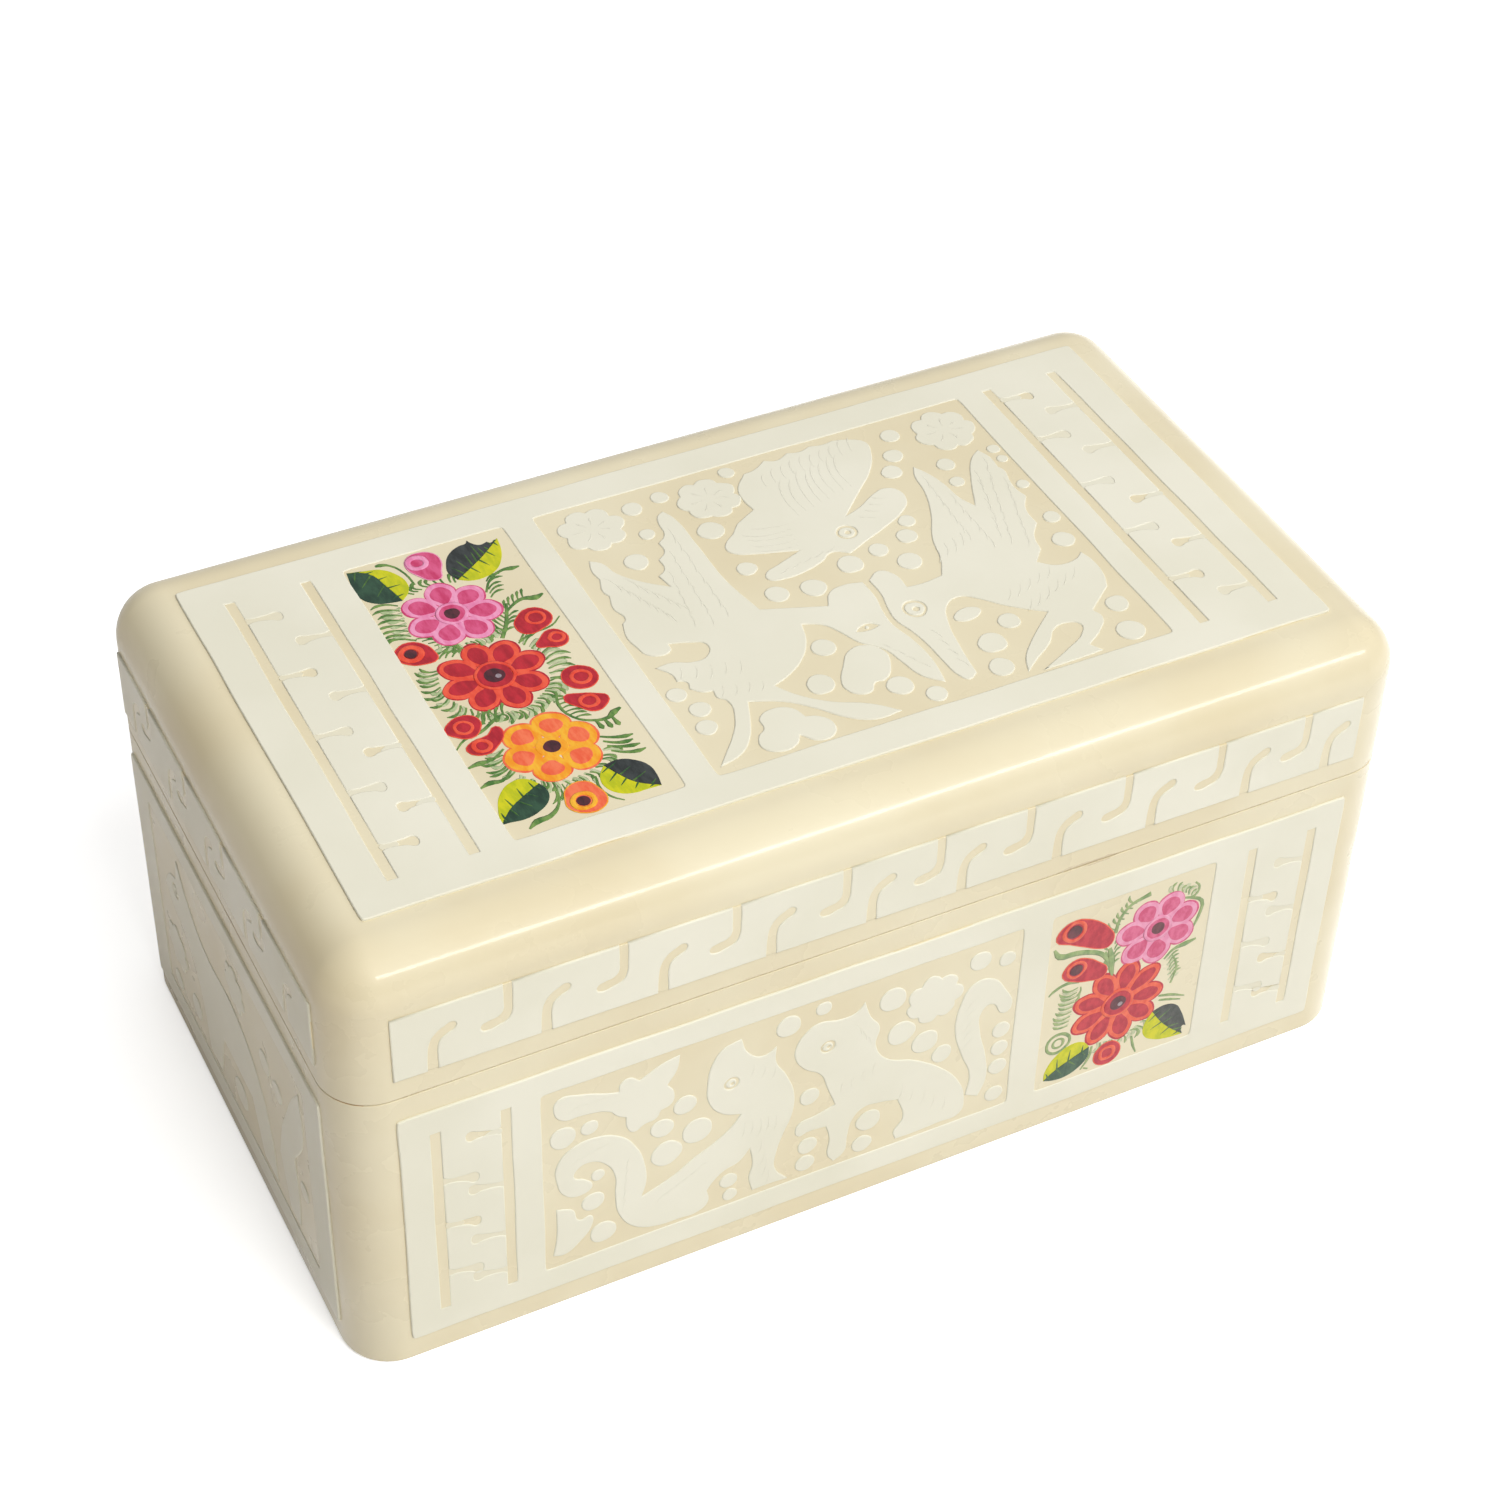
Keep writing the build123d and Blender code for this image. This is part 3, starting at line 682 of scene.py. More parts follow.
def comb(x, way, low, high, heights, lean):
    # an upright groove with strokes that reach out of it
    half = way * cut["groove"] / 2
    loop = edgeLine((x - half, low), (x - half, high)) + edgeLine((x - half, high), (x + half, high))
    corner = (x + half, high)
    for height in sorted(heights, reverse=True):
        outline = scrape(x, way, height, lean)
        loop += edgeLine(corner, outline[0][:2]) + outline[:-1]
        corner = outline[-1][:2]
    return loop + edgeLine(corner, (x + half, low)) + edgeLine((x + half, low), (x - half, low))


def scrapedBeds(piece, combs, lean):
    # the strokes only thin the coat: what is left of it lies lower and lets the ground through
    near = cut["near"]
    for x, way, heights in combs:
        for height in heights:
            if hand.random() < thinned["whole"]:
                bed = scrape(x, way, height, lean, thinned["grow"])
                depth = hand.uniform(*thinned["deep"])
            else:
                start = x + way * (cut["groove"] / 2 + 0.1)
                end = start + way * hand.uniform(*thinned["length"])
                low, high = (height + lean * (end - start) * way - near * side * 0.7 for side in (1, -1))
                tip = (end + way * 0.5, (low + high) / 2)
                root = near * 0.6
                bed = [(start, height - root), (end, low), tip, (end, high), (start, height + root)]
                depth = hand.uniform(*thinned["shallow"])
            plate(piece, [bed], scraped, cut["coat"] - depth, thinned["soft"])


def turned(x, y, angle, along, aside=0.0):
    # the place so far along a direction from the middle and so far beside it
    return x + along * cos(angle) - aside * sin(angle), y + along * sin(angle) + aside * cos(angle)


def roundIsland(x, y, radius, stretch=1.0, turn=0.0):
    loop = []
    for index in range(8):
        angle = index * pi / 4
        reach = radius * hand.uniform(0.94, 1.05)
        loop.append(turned(x, y, turn, reach * cos(angle) * stretch, reach * sin(angle)))
    return loop


def lobedIsland(x, y, radius, valley, turn):
    loop = []
    for lobe in range(cut["lobes"]):
        for share, reach in ((0, valley), (0.22, 0.95), (0.5, 1.0), (0.78, 0.95)):
            angle = turn + (lobe + share) * 2 * pi / cut["lobes"]
            spot = turned(x, y, angle, radius * reach * hand.uniform(0.97, 1.03))
            loop.append((*spot, t) if share == 0 else spot)
    return loop


def eye(x, y, radius):
    # a ring cut round the eye, and its pupil
    edges = [roundIsland(x, y, radius + side * cut["ring"] / 2) for side in (1, -1)]
    return [*edges, roundIsland(x + 0.2, y - 0.1, radius * 0.28)]


def barbs(start, end, count, reach, width=0.75, curl=0.2):
    # a row of strokes that leave the line from start to end; reach gives their length and lean
    lines = []
    for index in range(count):
        share = index / max(count - 1, 1)
        x = start[0] + (end[0] - start[0]) * share
        y = start[1] + (end[1] - start[1]) * share
        long = hand.uniform(0.85, 1.1)
        dx, dy = reach[0] * long, reach[1] * long
        bow = curl * hand.uniform(0.7, 1.3)
        lines.append([
            (x + dx * far - dy * bow * bent, y + dy * far + dx * bow * bent, width * wide)
            for far, bent, wide in ((0, 0, 0.55), (0.4, 0.8, 0.8), (0.78, 0.7, 1.25), (1, 0, 0.35))
        ])
    return lines


def rays(x, y, near, far, first, last, count, width=0.7):
    # strokes that stand round a flower between two angles, leaf-shaped at their ends
    lines = []
    for index in range(count):
        angle = radians(first + (last - first) * index / max(count - 1, 1) + hand.uniform(-2, 2))
        reach = far * hand.uniform(0.93, 1.05)
        bend = hand.uniform(0.03, 0.1)
        lines.append([
            (*turned(x, y, angle + turn, near + (reach - near) * share), width * wide)
            for share, turn, wide in ((0, 0, 0.6), (0.45, bend, 0.75), (0.8, bend * 0.7, 1.3), (1, 0, 0.4))
        ])
    return lines


# Outlines on the faces: animals, leaves, islands as across, up and radius, and rows of scratches
birdLeft = (
    (-3.1, 30.1, t), (-2.1, 27.6), (-1.7, 18.9), (-1.5, 7.4), (0.2, -2.1, t), (5.6, -4.1), (11.2, -6.2, t),
    (13.2, -3), (16.4, -2.2), (19.8, -2.9, t), (19.9, -7.6), (19.2, -11.5), (19, -15.3), (20.2, -20.4),
    (20.7, -26.6), (19.9, -32.6, t), (16.9, -29.5), (15.5, -24.5), (14.4, -20.6), (11.4, -17.2),
    (9.8, -13.5), (8.1, -10.6), (4.9, -8.8, t), (3.6, -13.1), (0.4, -17.4), (-3.4, -20), (-6.6, -21.3, t),
    (-4.3, -24.8), (-0.1, -28.7), (5.7, -32), (9.8, -35.9, t), (4.8, -36.1), (0.5, -33.6), (-3, -29.5),
    (-7.2, -25.6), (-12.5, -23.1, t), (-14.1, -27.2), (-16.4, -31.6), (-19.3, -34.4), (-24, -35.8, t),
    (-21.5, -32.9), (-18.7, -29.6), (-16.4, -25.7), (-15.6, -21.4), (-16.8, -19.9), (-16.6, -18.1, t),
    (-18.2, -17.8), (-20, -16, t), (-19.7, -14.2), (-21.1, -13.4, t), (-21.1, -11.5), (-22.9, -8.7, t),
    (-19.7, -8.5), (-16.5, -9.8), (-13.8, -9.6), (-12.3, -6.6), (-14.8, -5), (-18.1, -3.9, t),
    (-18.4, -5.6), (-20.6, -6.2), (-22.8, -4.8), (-23.4, -2.6), (-23.9, 0.5), (-23, 4.3, t), (-22, 5.3),
    (-22.7, 8.7), (-21.9, 12.1, t), (-22.4, 13.6), (-21.5, 17, t), (-21.8, 19.6), (-21, 22.6, t),
    (-19.2, 21.1), (-18, 17.4), (-15.2, 13.7), (-11.1, 10.1, t), (-11.8, 13.5, t), (-10, 14.9),
    (-9.8, 17.7, t), (-7.9, 19.4), (-7.8, 22, t), (-5.9, 23.7), (-5.5, 26.7, t), (-4.7, 29.1),
)
birdRight = (
    (43.9, 22.9, t), (45.3, 20.2), (46.5, 16.1), (47.1, 11.1), (48.4, 8, t), (51.5, 15.1), (54.9, 20.8),
    (57.1, 22.4, t), (58.1, 19.7), (58, 16.3, t), (58.5, 15), (57.9, 12.1, t), (57.6, 9.5), (58.2, 6.5, t),
    (56.2, 3.1), (55.9, -1.3, t), (53.6, -4.3), (52.7, -8.1, t), (50.2, -10.9, t), (53, -13.1), (56.8, -13),
    (58.7, -11.6, t), (59.4, -14.6), (59.1, -18.9), (57.9, -22, t), (54.3, -24.9), (52.2, -26.6, t),
    (52.8, -28.9), (50.6, -31.8), (46.9, -34.4, t), (48.3, -36.6, t), (45, -36.8), (40.3, -36.9),
    (36.1, -36.9, t), (38.5, -35.8), (43.1, -33.6), (47.1, -31.2), (48.2, -29), (46.3, -27.7),
    (43.6, -28.2), (41, -31.1), (36.6, -34.1), (33.6, -36.4, t), (35.1, -32.8), (37.9, -29.6),
    (44.8, -23.7, t), (41.9, -21.6), (38.4, -18.5), (36, -15.8), (33.2, -13.7), (30.5, -14.4),
    (27.8, -19.5), (26.8, -24.5), (26.2, -28.6), (25.8, -32.7, t), (23.8, -33.7), (22.6, -32.1),
    (22, -27.7), (21.7, -22.7), (21, -18.5), (19.9, -14.5), (20.2, -11.2), (21, -7.3), (20.9, -3, t),
    (23.8, -1.3), (25.9, -3.4), (26.2, -7.4, t), (29.3, -7.6), (33.1, -7.1, t), (35.1, -3.1), (36.6, 2.5),
    (40.1, 9.5), (42.1, 15.6), (42.7, 20.3),
)
butterfly = (
    (14.9, 33.9, t), (17, 34.2), (20, 36, t), (22, 35.1), (24.9, 36.3, t), (27.1, 35.7), (29.5, 36.4, t),
    (32, 35.9), (34.2, 36.2, t), (36.9, 35.4), (39.6, 33.3), (39.1, 29.9), (35.9, 24.6), (32.1, 20.9),
    (26, 15, t), (29.5, 16.4), (33.6, 18.8), (36, 19.4), (38, 18.1), (38.2, 14.7), (36, 12), (30.3, 8.9),
    (25.9, 7), (21.7, 5.1, t), (18.8, 6.7), (16.3, 5.2), (12.4, 3.9), (8.2, 3.5), (5.2, 4.5), (5.4, 6.2),
    (8.4, 7.6), (13.9, 9.6, t), (10, 10.8), (6.6, 11.9), (3.1, 13.5), (2.2, 15.2), (3, 17), (5.2, 18.8, t),
    (7.2, 21.1, t), (9.6, 22.5), (11.7, 23.6, t), (11.3, 26.7), (11.8, 30.1),
)
narrowEye = ((12.4, -14.6, t), (13.6, -13.7), (15.4, -13.5), (16.7, -14.6, t), (15.2, -15), (13.7, -15))
topIslands = (
    (-7.8, 33, 1.9), (-1.9, 34, 1.7), (-8.5, 25.2, 1.5), (-13.5, 18.8, 2.3), (12.2, 35.6, 1.6),
    (2.2, 21.3, 2.5), (44.6, 33, 1.9), (42.2, 27.3, 1.9), (39.6, 23.1, 2), (49.6, 21, 1.8), (49, 15.6, 1.5),
    (35.1, 9.1, 1.7), (33, 5.3, 2), (26.6, 3.9, 1.9), (30.1, -1.2, 2.3), (20.1, 2.4, 2.4),
    (11.3, -0.7, 2.4), (4.7, 0.4, 2.2), (3.2, 8.9, 1.9), (5.4, -15.9, 2.3), (0.4, -24.2, 2.5),
    (12.4, -30.1, 2.4), (17, -34.6, 2), (-22.6, -16.5, 1.8), (-20.6, -21.4, 1.9), (-21.6, -26, 1.9),
    (59.9, 21.5, 1.3), (59.9, 18.2, 1.1), (59.4, 9.9, 1.3), (59.2, -0.7, 1.7), (57.7, -7.3, 2.1),
    (56.9, -26.8, 2.2), (55.2, -34, 2.6), (37.5, -23, 2.1), (32, -26.9, 2.6), (30.3, -33.1, 2.3),
    (31.9, -18.4, 1.7, 1.6, 0.1),
)
topIslandShapes = (
    ((3.6, -27), (3.8, -25.2), (6, -21.6), (8.8, -18.4), (11.8, -18.1), (14.3, -20.7), (13.7, -24.6),
     (10.9, -27.8), (9.2, -27.7), (7.4, -29.6), (5, -29.2)),
    ((-12.8, -27.6), (-9.6, -26.3), (-6.5, -27.7), (-5.5, -30.4, t), (-3.8, -31), (-2, -33.6),
     (-3.2, -36.5), (-6.4, -36.7), (-8.5, -34.2, t), (-9.8, -36), (-12.8, -36.7), (-15.6, -34.6),
     (-14.9, -31.6), (-13.3, -30.3)),
)
cat = (
    (-29, 51.8, t), (-27.7, 47.9), (-24.8, 45.8), (-22.3, 47, t), (-22.3, 43.2), (-20.3, 39.1),
    (-18.6, 33.7), (-18.9, 28.3), (-20.4, 24.2), (-21.6, 20.1), (-21.8, 15.8), (-19.2, 11.9, t),
    (-23.7, 12.2), (-26.3, 12.1, t), (-27, 16), (-26.4, 18.8), (-26.9, 23.4, t), (-29, 20.9), (-31.7, 20),
    (-33.9, 18.1), (-35, 16.5, t), (-34.8, 13.3), (-36.7, 11.7), (-40.6, 11.7), (-44.4, 11.9),
    (-48.9, 13.9), (-51.9, 18.8), (-52.5, 23.9), (-52.5, 28.7), (-54.2, 32.6), (-57.1, 34.5), (-59.2, 33.9),
    (-59.9, 32), (-58.1, 30.8), (-56.6, 28.4), (-58.7, 27), (-61.6, 28.1), (-63.2, 32.2), (-63, 36.7),
    (-60.3, 39.6), (-56.1, 40.3), (-51.6, 38.5), (-48.3, 34), (-46.8, 28.8), (-46.6, 24.4),
    (-47.5, 21.1, t), (-44.4, 22.3), (-41.3, 23.7), (-37.8, 26.1), (-34, 28.1), (-30.6, 30.7),
    (-28.9, 33.1, t), (-32.3, 34.7), (-35, 38.7), (-35.3, 43.8), (-34.5, 48), (-32.5, 50.9), (-30.7, 51.5),
)
squirrel = (
    (-5.6, 50.3, t), (-4.3, 46.1), (-2.4, 42.8), (-3, 38.9), (-0.9, 34.3), (5.1, 31), (10.7, 26.4),
    (14.4, 21.5), (16, 16.4), (15.2, 12.4), (11, 12), (5.6, 11.7), (2.2, 11.8, t), (1.7, 13.9), (3.4, 16.7),
    (2.1, 22.2, t), (-1.4, 23.1), (-4.8, 23.3), (-6.7, 21.4), (-7.6, 17.5), (-8.1, 13.4), (-10.2, 11.9, t),
    (-11.5, 14), (-11.3, 18.5), (-12.1, 21.9, t), (-15.6, 22.2), (-17.4, 21.8), (-18.2, 23.6),
    (-17.4, 25.2), (-14.4, 25.8), (-10.5, 26.9, t), (-12.2, 31.8), (-13.6, 35.8), (-17.1, 39),
    (-18.8, 42.4), (-18.6, 45.1), (-17.2, 47.4), (-14.6, 49), (-10.2, 48.1), (-7.3, 48.4),
)
plume = (
    (16.1, 16.8, t), (16.6, 21.8), (14.5, 28), (12.8, 34.7), (13.4, 40.7), (15.7, 45.1), (19, 45.3),
    (22.6, 41), (24, 35.9), (22.5, 35), (19.7, 38.5), (18.1, 37.4), (18.1, 32.3), (19.7, 25.6),
    (20.2, 19.3), (18.8, 15.3, t),
)
frontLeaf = (
    (-63.4, 49.7), (-62.5, 52.5), (-58.4, 51.9), (-53.4, 49.9), (-51.6, 49.3, t), (-51.4, 51),
    (-49.8, 51.9), (-47.8, 50.4, t), (-46.2, 51.3), (-43.4, 52.6), (-40.4, 53.2, t), (-40.9, 49.9),
    (-42.7, 46.9, t), (-41.5, 44.9), (-41.9, 42), (-43.9, 41.2, t), (-44.8, 39.6), (-46.9, 39.2),
    (-48.9, 38.2), (-50.2, 39.8), (-50.4, 42.5, t), (-52, 43.6), (-53.4, 45.3), (-58.4, 46.7), (-61.7, 47),
)
frontCorner = (
    (-63.4, 25.5, t), (-60.3, 24), (-59.1, 20.8), (-57, 21), (-57, 17.9), (-58.9, 15.4), (-62.1, 13.2),
    (-64.2, 13.8, t), (-63.5, 18.2),
)
frontIslands = (
    (-61.8, 42.8, 2.5), (-57, 43.1, 1.7), (-39.5, 40.4, 2.2), (-43.7, 36.6, 2.2), (-37, 32.9, 2.9),
    (-42.9, 29.9, 3), (-20.2, 50.9, 2.4), (-13.6, 52.2, 1.6), (-0.2, 48.4, 2.7), (-15.6, 31.2, 2),
    (1.9, 39.2, 2.8), (6.8, 34.9, 2.7), (10.4, 30.2, 2.1), (-56.6, 24.3, 2.2), (-55.6, 30.6, 1.3),
    (-54.8, 15.5, 2.5), (-30.9, 17, 1.8), (-30.6, 13.2, 1.5), (-15.6, 18.6, 2), (-15.9, 14.2, 2),
    (-3.6, 19.5, 2.5), (-4.6, 13.9, 2), (22.3, 48.6, 1.7), (16.8, 50.4, 2.2), (22.4, 30.9, 1.9),
    (22.4, 26.2, 1.8), (22.4, 21.4, 1.9), (22.2, 14.4, 1.9),
)
hare = (
    (-33.6, 40, t), (-30.4, 44.4), (-26.4, 46.4, t), (-24.8, 52.2, t), (-21.6, 47, t), (-13.4, 41.2),
    (3, 40.2), (12, 35), (17.5, 25), (19.2, 12.6, t), (12.4, 12.6, t), (8.4, 23.8, t), (-6.4, 24.2, t),
    (-9.8, 12.6, t), (-16, 12.6, t), (-18.4, 26.4), (-24.2, 34.2), (-29.2, 36.2),
)
tallPlume = (
    (22.4, 24.4, t), (25, 33), (28.2, 39.4), (32, 46.5), (36.4, 52.4, t), (36.6, 40.4), (30.6, 30.4, t),
    (31.2, 21), (30.2, 12.6, t), (25.6, 12.6, t),
)
endIslands = (
    (18.4, 42.4, 2.6), (24.4, 40.8, 2.3), (-22.6, 17.2, 2.7), (1.2, 17.6, 3.2), (-33.5, 14.5, 2.2),
    (34.6, 26, 2),
)
birdLines = (
    ((-20.6, 17), (-15.4, 5), 7, (1.2, -4.6)), ((-17.6, 15.6), (-12, 5.4), 6, (1.2, -4.4)),
    ((-4.4, 25), (-5.2, 2), 8, (-0.6, -4.2)), ((-7, 19), (-8.4, 1), 7, (-0.6, -4)),
    ((-9.6, 14), (-11.4, 2), 5, (-0.6, -3.8)), ((-19, -10.4), (-9, -13), 5, (-1.6, -3.4)),
    ((-14.6, -17.6), (-8, -19.4), 4, (-1.4, -2.6)), ((14.4, -19), (18, -26), 4, (1.4, -2.4)),
    ((44, 19.6), (43.2, 3), 7, (-0.6, -4)), ((46, 13), (46, -1), 6, (-0.7, -4)),
    ((56.8, 20), (50, -0.6), 8, (-1.4, -4.2)), ((57.2, 13), (52.4, -2.4), 7, (-1.2, -4)),
    ((53.4, 17), (48.6, 1), 7, (-0.8, -4)), ((42, 2), (36, 0), 4, (-1.4, -3.8)),
    ((55.4, -15), (44, -19.6), 6, (-2.4, -3)), ((51.4, -13), (42, -15.6), 5, (-2.2, -3)),
    ((24, -19.4), (24.4, -28), 4, (0.9, -2.6)),
)
butterflyLines = (
    ((18.4, 18.6), (31, 22.4), 8, (2, 11)), ((17, 28.6), (36, 31.6), 10, (1.2, 4.2)),
    ((15.6, 17.2), (14.4, 11), 5, (-8, 1.8)), ((30.6, 12.2), (35, 16.4), 4, (-2.6, 1.6)),
    ((10, 6), (20, 8), 5, (-2.2, -1)),
)
frontLines = (
    ((-24.6, 25), (-23, 16), 4, (-1, -4)), ((-28, 30.8), (-22, 30), 5, (-0.6, -4.2)),
    ((-45, 18), (-38, 22), 5, (3, 2)), ((-60.4, 35.6), (-55.4, 36.8), 4, (2.6, 1)),
    ((-51, 18.6), (-50.2, 29), 5, (0.6, 3.2)), ((-26.4, 44.4), (-22.4, 42), 3, (-1, -3)),
    ((-9.4, 29), (-3.2, 31), 4, (0.4, 3.4)), ((3, 26), (12, 18.6), 5, (-0.8, -4)),
    ((-7, 45.4), (-5, 42), 3, (1, -3)), ((14.6, 29), (14.6, 38.6), 5, (2, 2.6)),
    ((-60.6, 48.6), (-55.6, 48.6), 4, (2.4, 0.8)),
)
hookDown = (
    (0.75, 0, t), (0.7, -4), (0.5, -6.6), (-0.2, -7.9), (-1.8, -8.5), (-3.6, -8.9), (-4.6, -8.5),
    (-4.6, -7.5), (-3.4, -7), (-1.7, -6.6), (-0.85, -5.6), (-0.7, -3.5), (-0.75, 0, t),
)
hookUp = (
    (-0.95, 0, t), (-0.8, 4), (-0.4, 6.3), (0.7, 8), (2.1, 8.9), (3.4, 9.4), (4.1, 8.9), (3.9, 7.9),
    (2.6, 7.2), (1.3, 6.2), (0.85, 4.8), (0.75, 3), (0.85, 0, t),
)

# Layout of the faces, as the wood part has it
topLayout = {
    "field": (-89.5, 89.5, -44, 44.5), "flowers": (-61, -31, -37.5, 38), "picture": (-25, 61.5, -37.5, 38),
    "lean": -0.1, "combs": (
        (-81.8, 1, (32, 15.5, -1, -16, -30)), (-67.9, -1, (23, 7, -8.5, -23)),
        (81.8, -1, (27, 13.5, -3, -17, -32)), (67.9, 1, (34, 20.5, 5, -10, -25)),
    ),
}
longLayout = {
    "field": (-90.3, 90.3, 5.5, 60), "flowers": (31, 64, 10.8, 54.7), "picture": (-65.5, 25, 10.8, 54.7),
    "lean": -0.22, "combs": (
        (-84, 1, (42.5, 31.5, 19.5)), (-71.7, -1, (50, 37, 24.5, 15)),
        (84, -1, (48, 36, 24, 15)), (71.7, 1, (42, 30.5, 19)),
    ),
}
endLayout = {"field": (-47, 47, 5.5, 60), "picture": (-39, 39, 10.8, 54.7), "lean": 0, "combs": ()}
longBand = {
    "half": 90.3, "down": (-70.5, -50.5, -30.5, -10.5, 7, 24, 43, 61.5, 79),
    "up": (-83.5, -64, -43.5, -24, -5.5, 11.5, 30, 48.5, 67.5, 84),
}
endBand = {"half": 47, "down": (-31, -12, 7, 25.5), "up": (-40, -21, -2.5, 16.5, 35)}
bandEdges = (69.5, 83.2)


def coatPlate(piece, *loops):
    plate(piece, loops, white, cut["coat"])


def islands(piece, spots):
    for spot in spots:
        coatPlate(piece, roundIsland(*spot))


def groundBed(piece, field):
    # the ground lacquer is thick here: the white coat lies on it and is scraped down to it
    left, right, low, high = field
    inset = cut["inset"]
    outline = window(left + inset, right - inset, low + inset, high - inset)
    plate(piece, [outline], ground, cut["bed"], cut["bedSoft"])


def startRelief(layout):
    # the bed, the coat with its windows, and the combs cut beside them
    piece = newPiece()
    groundBed(piece, layout["field"])
    lean = layout["lean"]
    combs = [comb(x, way, *layout["picture"][2:], heights, lean) for x, way, heights in layout["combs"]]
    windows = [window(*layout[part]) for part in ("field", "flowers", "picture") if part in layout]
    coatPlate(piece, *windows, *combs)
    scrapedBeds(piece, layout["combs"], lean)
    return piece


def scratch(piece, rows):
    # faint lines drawn in the white coat
    strokes(piece, [line for row in rows for line in barbs(*row, 0.2, 0.1)], white, 0.08, cut["coat"])


def topRelief():
    piece = startRelief(topLayout)
    coatPlate(piece, birdLeft, narrowEye, roundIsland(14.6, -14.2, 0.42))
    coatPlate(piece, birdRight, *eye(24.4, -13.3, 2.0))
    coatPlate(piece, butterfly, *eye(23.8, 10.7, 1.7))
    islands(piece, topIslands)
    for outline in topIslandShapes:
        coatPlate(piece, outline)
    for x, y, radius in ((-16.7, 30.4, 6.2), (5.9, 29.9, 6.0), (54.5, 30.4, 6.2)):
        coatPlate(piece, lobedIsland(x, y, radius, 0.84, hand.uniform(0, 1)))
        strokes(piece, rays(x, y, 1.4, 3.6, 20, 340, 7, 0.24), white, 0.1, cut["coat"])
    scratch(piece, birdLines + butterflyLines)
    result = finishPiece(piece, "topRelief", "top", "lid")
    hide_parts("lid_top_relief")


def longRelief(face):
    piece = startRelief(longLayout)
    coatPlate(piece, cat, *eye(-30.8, 41.7, 1.2))
    coatPlate(piece, squirrel, *eye(-12.5, 42.4, 1.2))
    for outline in (plume, frontLeaf, frontCorner):
        coatPlate(piece, outline)
    islands(piece, frontIslands)
    coatPlate(piece, lobedIsland(8.1, 45.1, 5.7, 0.82, 0.4))
    scratch(piece, frontLines)
    result = finishPiece(piece, f"{face}Relief", face, "base")
    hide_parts(f"base_{face}_relief")


def endRelief(face):
    piece = startRelief(endLayout)
    coatPlate(piece, hare, *eye(-27.5, 42.5, 1.4))
    coatPlate(piece, tallPlume)
    islands(piece, endIslands)
    for x, y, radius in ((-31.2, 25, 5.2), (4.6, 47.4, 5.0)):
        coatPlate(piece, lobedIsland(x, y, radius, 0.82, 0.2))
    result = finishPiece(piece, f"{face}Relief", face, "base")
    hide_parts(f"base_{face}_relief")


def bandRelief(face, band):
    # the running border: hooks hang from the upper edge and stand on the lower one
    half = band["half"]
    low, high = bandEdges
    loop = [(-half, low, t)]
    for x in band["up"]:
        if abs(x) < half - 5:
            loop += [(x + across, low + up, *rest) for across, up, *rest in hookUp]
    loop += [(half, low, t), (half, high, t)]
    for x in band["down"][::-1]:
        loop += [(x + across, high + up, *rest) for across, up, *rest in hookDown]
    loop.append((-half, high, t))
    piece = newPiece()
    groundBed(piece, (-half, half, low, high))
    coatPlate(piece, loop)
    result = finishPiece(piece, f"{face}Band", face, "lid")
    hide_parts(f"lid_{face}_relief")


topRelief()
for face in ("front", "back"):
    longRelief(face)
    bandRelief(face, longBand)
for face in ("left", "right"):
    endRelief(face)
    bandRelief(face, endBand)
print("white coat scraped")

# Painted flowers
paintHigh = {"rim": 0.06, "edge": 0.1, "fill": 0.15, "heart": 0.23, "bud": 0.13, "petal": 0.003, "all": 0.5}
brushShape = {  # how flat a stroke is, and how far it is lifted
    "ring": (0.26, 0.12), "budRing": (0.24, 0.1), "budRim": (0.3, 0.09), "fern": (0.2, 0.01),
    "pale": (0.1, 0.0),
}
bloomShape = {"near": 0.22, "half": 0.64, "disc": 1.75, "ring": 1.85, "ringWidth": 0.8, "spark": 0.3}
eggShape = ((0, 0), (0.2, 0.6), (0.5, 0.98), (0.8, 0.82), (1, 0), (0.8, -0.82), (0.5, -0.98), (0.2, -0.6))
wideMargin = 1.1  # a flower with a margin this wide has no ring round its heart


def dab(piece, outline, paint, high, soft=0.08, resolution=4):
    # one flat touch of paint
    plate(piece, [outline], piece["paints"][paint], high, soft, resolution)


def brush(piece, lines, paint, flatten, lift, closed=False):
    strokes(piece, lines, piece["paints"][paint], flatten, lift, closed)


def egg(x, y, angle, near, far, half):
    # a petal between two distances from the middle, fuller towards its end
    loop = []
    for share, side in eggShape:
        along = near + (far - near) * share * hand.uniform(0.98, 1.02)
        loop.append(turned(x, y, angle, along, half * side * hand.uniform(0.95, 1.05)))
    return loop


def ringLine(x, y, radius, width):
    # a painted ring, for strokes
    points = []
    for index in range(8):
        spot = turned(x, y, index * pi / 4, radius * hand.uniform(0.95, 1.05))
        points.append((*spot, width * hand.uniform(0.85, 1.15)))
    return points


